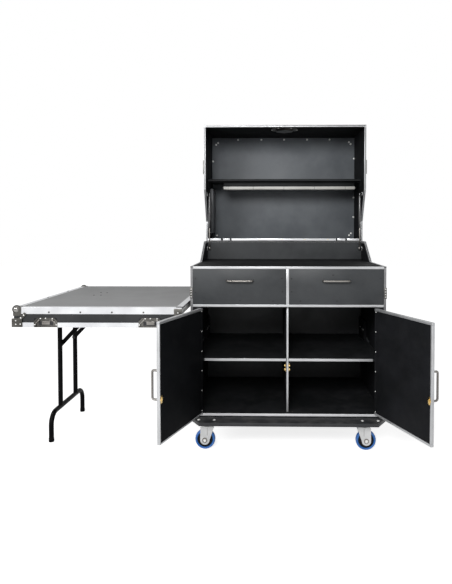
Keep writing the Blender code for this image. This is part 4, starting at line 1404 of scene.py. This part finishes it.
def makeLegs():
    x, crossbar, foot = leg["x"], leg["crossbarZ"], leg["tubeFoot"]
    first, second = (spot(x, y, foot) for y in leg["footY"])
    points = archPoints(first, second, up * (crossbar - foot), leg["bend"], 12)
    bars = [barAlong("feet", points, leg["footRadius"], 5)]
    for y in leg["uprightY"]:
        bars.append(barAlong("upright", [spot(x, y, crossbar), spot(x, y, leg["top"])], leg["uprightRadius"], 5))
    tall, over, soft = leg["shoe"]
    for y in leg["footY"]:
        bars.append(pin("shoe", spot(x, y, 0), up * tall, leg["footRadius"] + over, soft, 24))
    dressFor("leg_frame", joinAll("folding_legs", bars), "glossTube", "legs", 50)
    out, thick, radius, soft = leg["knob"]
    knobs = [
        pin("knob", spot(x, y + way * out, leg["braceZ"]), way * north * thick, radius, soft)
        for y, way in zip(leg["uprightY"], (1, -1))
    ]
    dress(joinAll("brace_knobs", knobs), "darkScrew", "legs", 40)
    finishNode("brace_front", "glossTube", "brace_f", sheetEdge)
    finishNode("brace_rear", "glossTube", "brace_r", sheetEdge)


makeLegs()
print("legs made")

# the CAD parts that are shown as they are, by finish
shownFinishes = {
    "darkPaintedShade": ("side_left", "side_right", "lid_left", "lid_right"),
    "laminate": ("back_board",),
    "insidePaintedShade": (
        "base_floor", "drawer_deck", "drawer_divider", "cupboard_divider", "shelf_left", "shelf_right", "post_left",
        "post_right",
    ),
    "tablePaintedReflection": ("table_top",),
    "bandLaminate": ("table_left", "table_right"),
}
for finish, shown in shownFinishes.items():
    for node in shown:
        nodes[node].data.materials.clear()
        nodes[node].data.materials.append(finishes[finish])
print("shown CAD parts finished:", sum(len(shown) for shown in shownFinishes.values()))

white = (1, 1, 1, 1)
studio = {
    "floor": 26.0, "floorPlace": (-0.2, 0, -0.0005), "camera": (-0.0956, -2.7005, 1.0873), "tilt": 88.241,
    "turn": 1.066, "lens": 33.87, "sensor": 36.0, "shift": (-0.0556, -0.0788), "ambient": 0.22, "floorColour": 0.80,
    "floorRoughness": 0.9, "floorGlow": 0.80, "whiteFrom": (1.8, 4.0),
}
lamps = {
    "key": {"place": (-2.8, -2.8, 2.2), "aim": (0.1, 0.2, 0.8), "size": 1.6, "power": 64.0},
    "fill": {"place": (2.6, -3.2, 1.6), "aim": (-0.2, 0.2, 0.8), "size": 2.0, "power": 9.0},
    "overhead": {"place": (-0.5, -3.4, 2.35), "aim": (-0.1, 0.6, 1.1), "size": 1.2, "power": 80.0},
}


# one where the camera, a reflection or a view through glass sees the studio, else nought
def addSeenRays(tree):
    rays = tree.nodes.new("ShaderNodeLightPath")
    first = addMaths(tree, "MAXIMUM")
    second = addMaths(tree, "MAXIMUM")
    link(
        tree, (rays, "Is Camera Ray", first, 0), (rays, "Is Glossy Ray", first, 1), (first, 0, second, 0),
        (rays, "Is Transmission Ray", second, 1),
    )
    return second


def makeBackground():
    world = bpy.data.worlds.new("studioWhite")
    bpy.context.scene.world = world
    world.use_nodes = True
    tree = world.node_tree
    background = tree.nodes["Background"]
    level = addRange(tree, 0.0, 1.0, studio["ambient"], 1.0)
    setInputs(background, Color=white)
    link(tree, (addSeenRays(tree), 0, level, "Value"), (level, "Result", background, "Strength"))


def makeFloor():
    bpy.ops.mesh.primitive_plane_add(size=studio["floor"], location=spot(*studio["floorPlace"]))
    floor = bpy.context.object
    floor.name = "studio_floor"
    settle(floor)
    cover = bpy.data.materials.new("studioFloor")
    cover.use_nodes = True
    tree = cover.node_tree
    shader = tree.nodes["Principled BSDF"]
    setInputs(
        shader, Base_Color=(*[studio["floorColour"]] * 3, 1), Roughness=studio["floorRoughness"],
        Specular_IOR_Level=0.0, Emission_Color=white,
    )
    place = tree.nodes.new("ShaderNodeTexCoord")
    away = tree.nodes.new("ShaderNodeVectorMath")
    away.operation = "LENGTH"
    level = addRange(tree, *studio["whiteFrom"], studio["floorGlow"], 1.0)
    glow = addMaths(tree, "MULTIPLY")
    link(
        tree, (place, "Object", away, 0), (away, "Value", level, "Value"), (level, "Result", glow, 0),
        (addSeenRays(tree), 0, glow, 1), (glow, 0, shader, "Emission Strength"),
    )
    floor.data.materials.append(cover)


def makeLamps():
    for name, settings in lamps.items():
        light = bpy.data.lights.new(name, "AREA")
        light.shape = "DISK"
        light.size = settings["size"]
        light.energy = settings["power"]
        stand = bpy.data.objects.new(name, light)
        bpy.context.scene.collection.objects.link(stand)
        place, aim = spot(*settings["place"]), spot(*settings["aim"])
        stand.matrix_world = Matrix.Translation(place) @ (aim - place).to_track_quat("-Z", "Y").to_matrix().to_4x4()


def makeCamera():
    camera = bpy.data.cameras.new("photoCamera")
    camera.lens = studio["lens"]
    camera.sensor_width = studio["sensor"]
    camera.shift_x, camera.shift_y = studio["shift"]
    view = bpy.data.objects.new("photoCamera", camera)
    bpy.context.scene.collection.objects.link(view)
    view.location = spot(*studio["camera"])
    view.rotation_euler = (math.radians(studio["tilt"]), 0, math.radians(studio["turn"]))
    bpy.context.scene.camera = view
    bpy.context.scene.view_settings.view_transform = "Standard"


makeBackground()
makeFloor()
makeLamps()
makeCamera()
print("studio made")
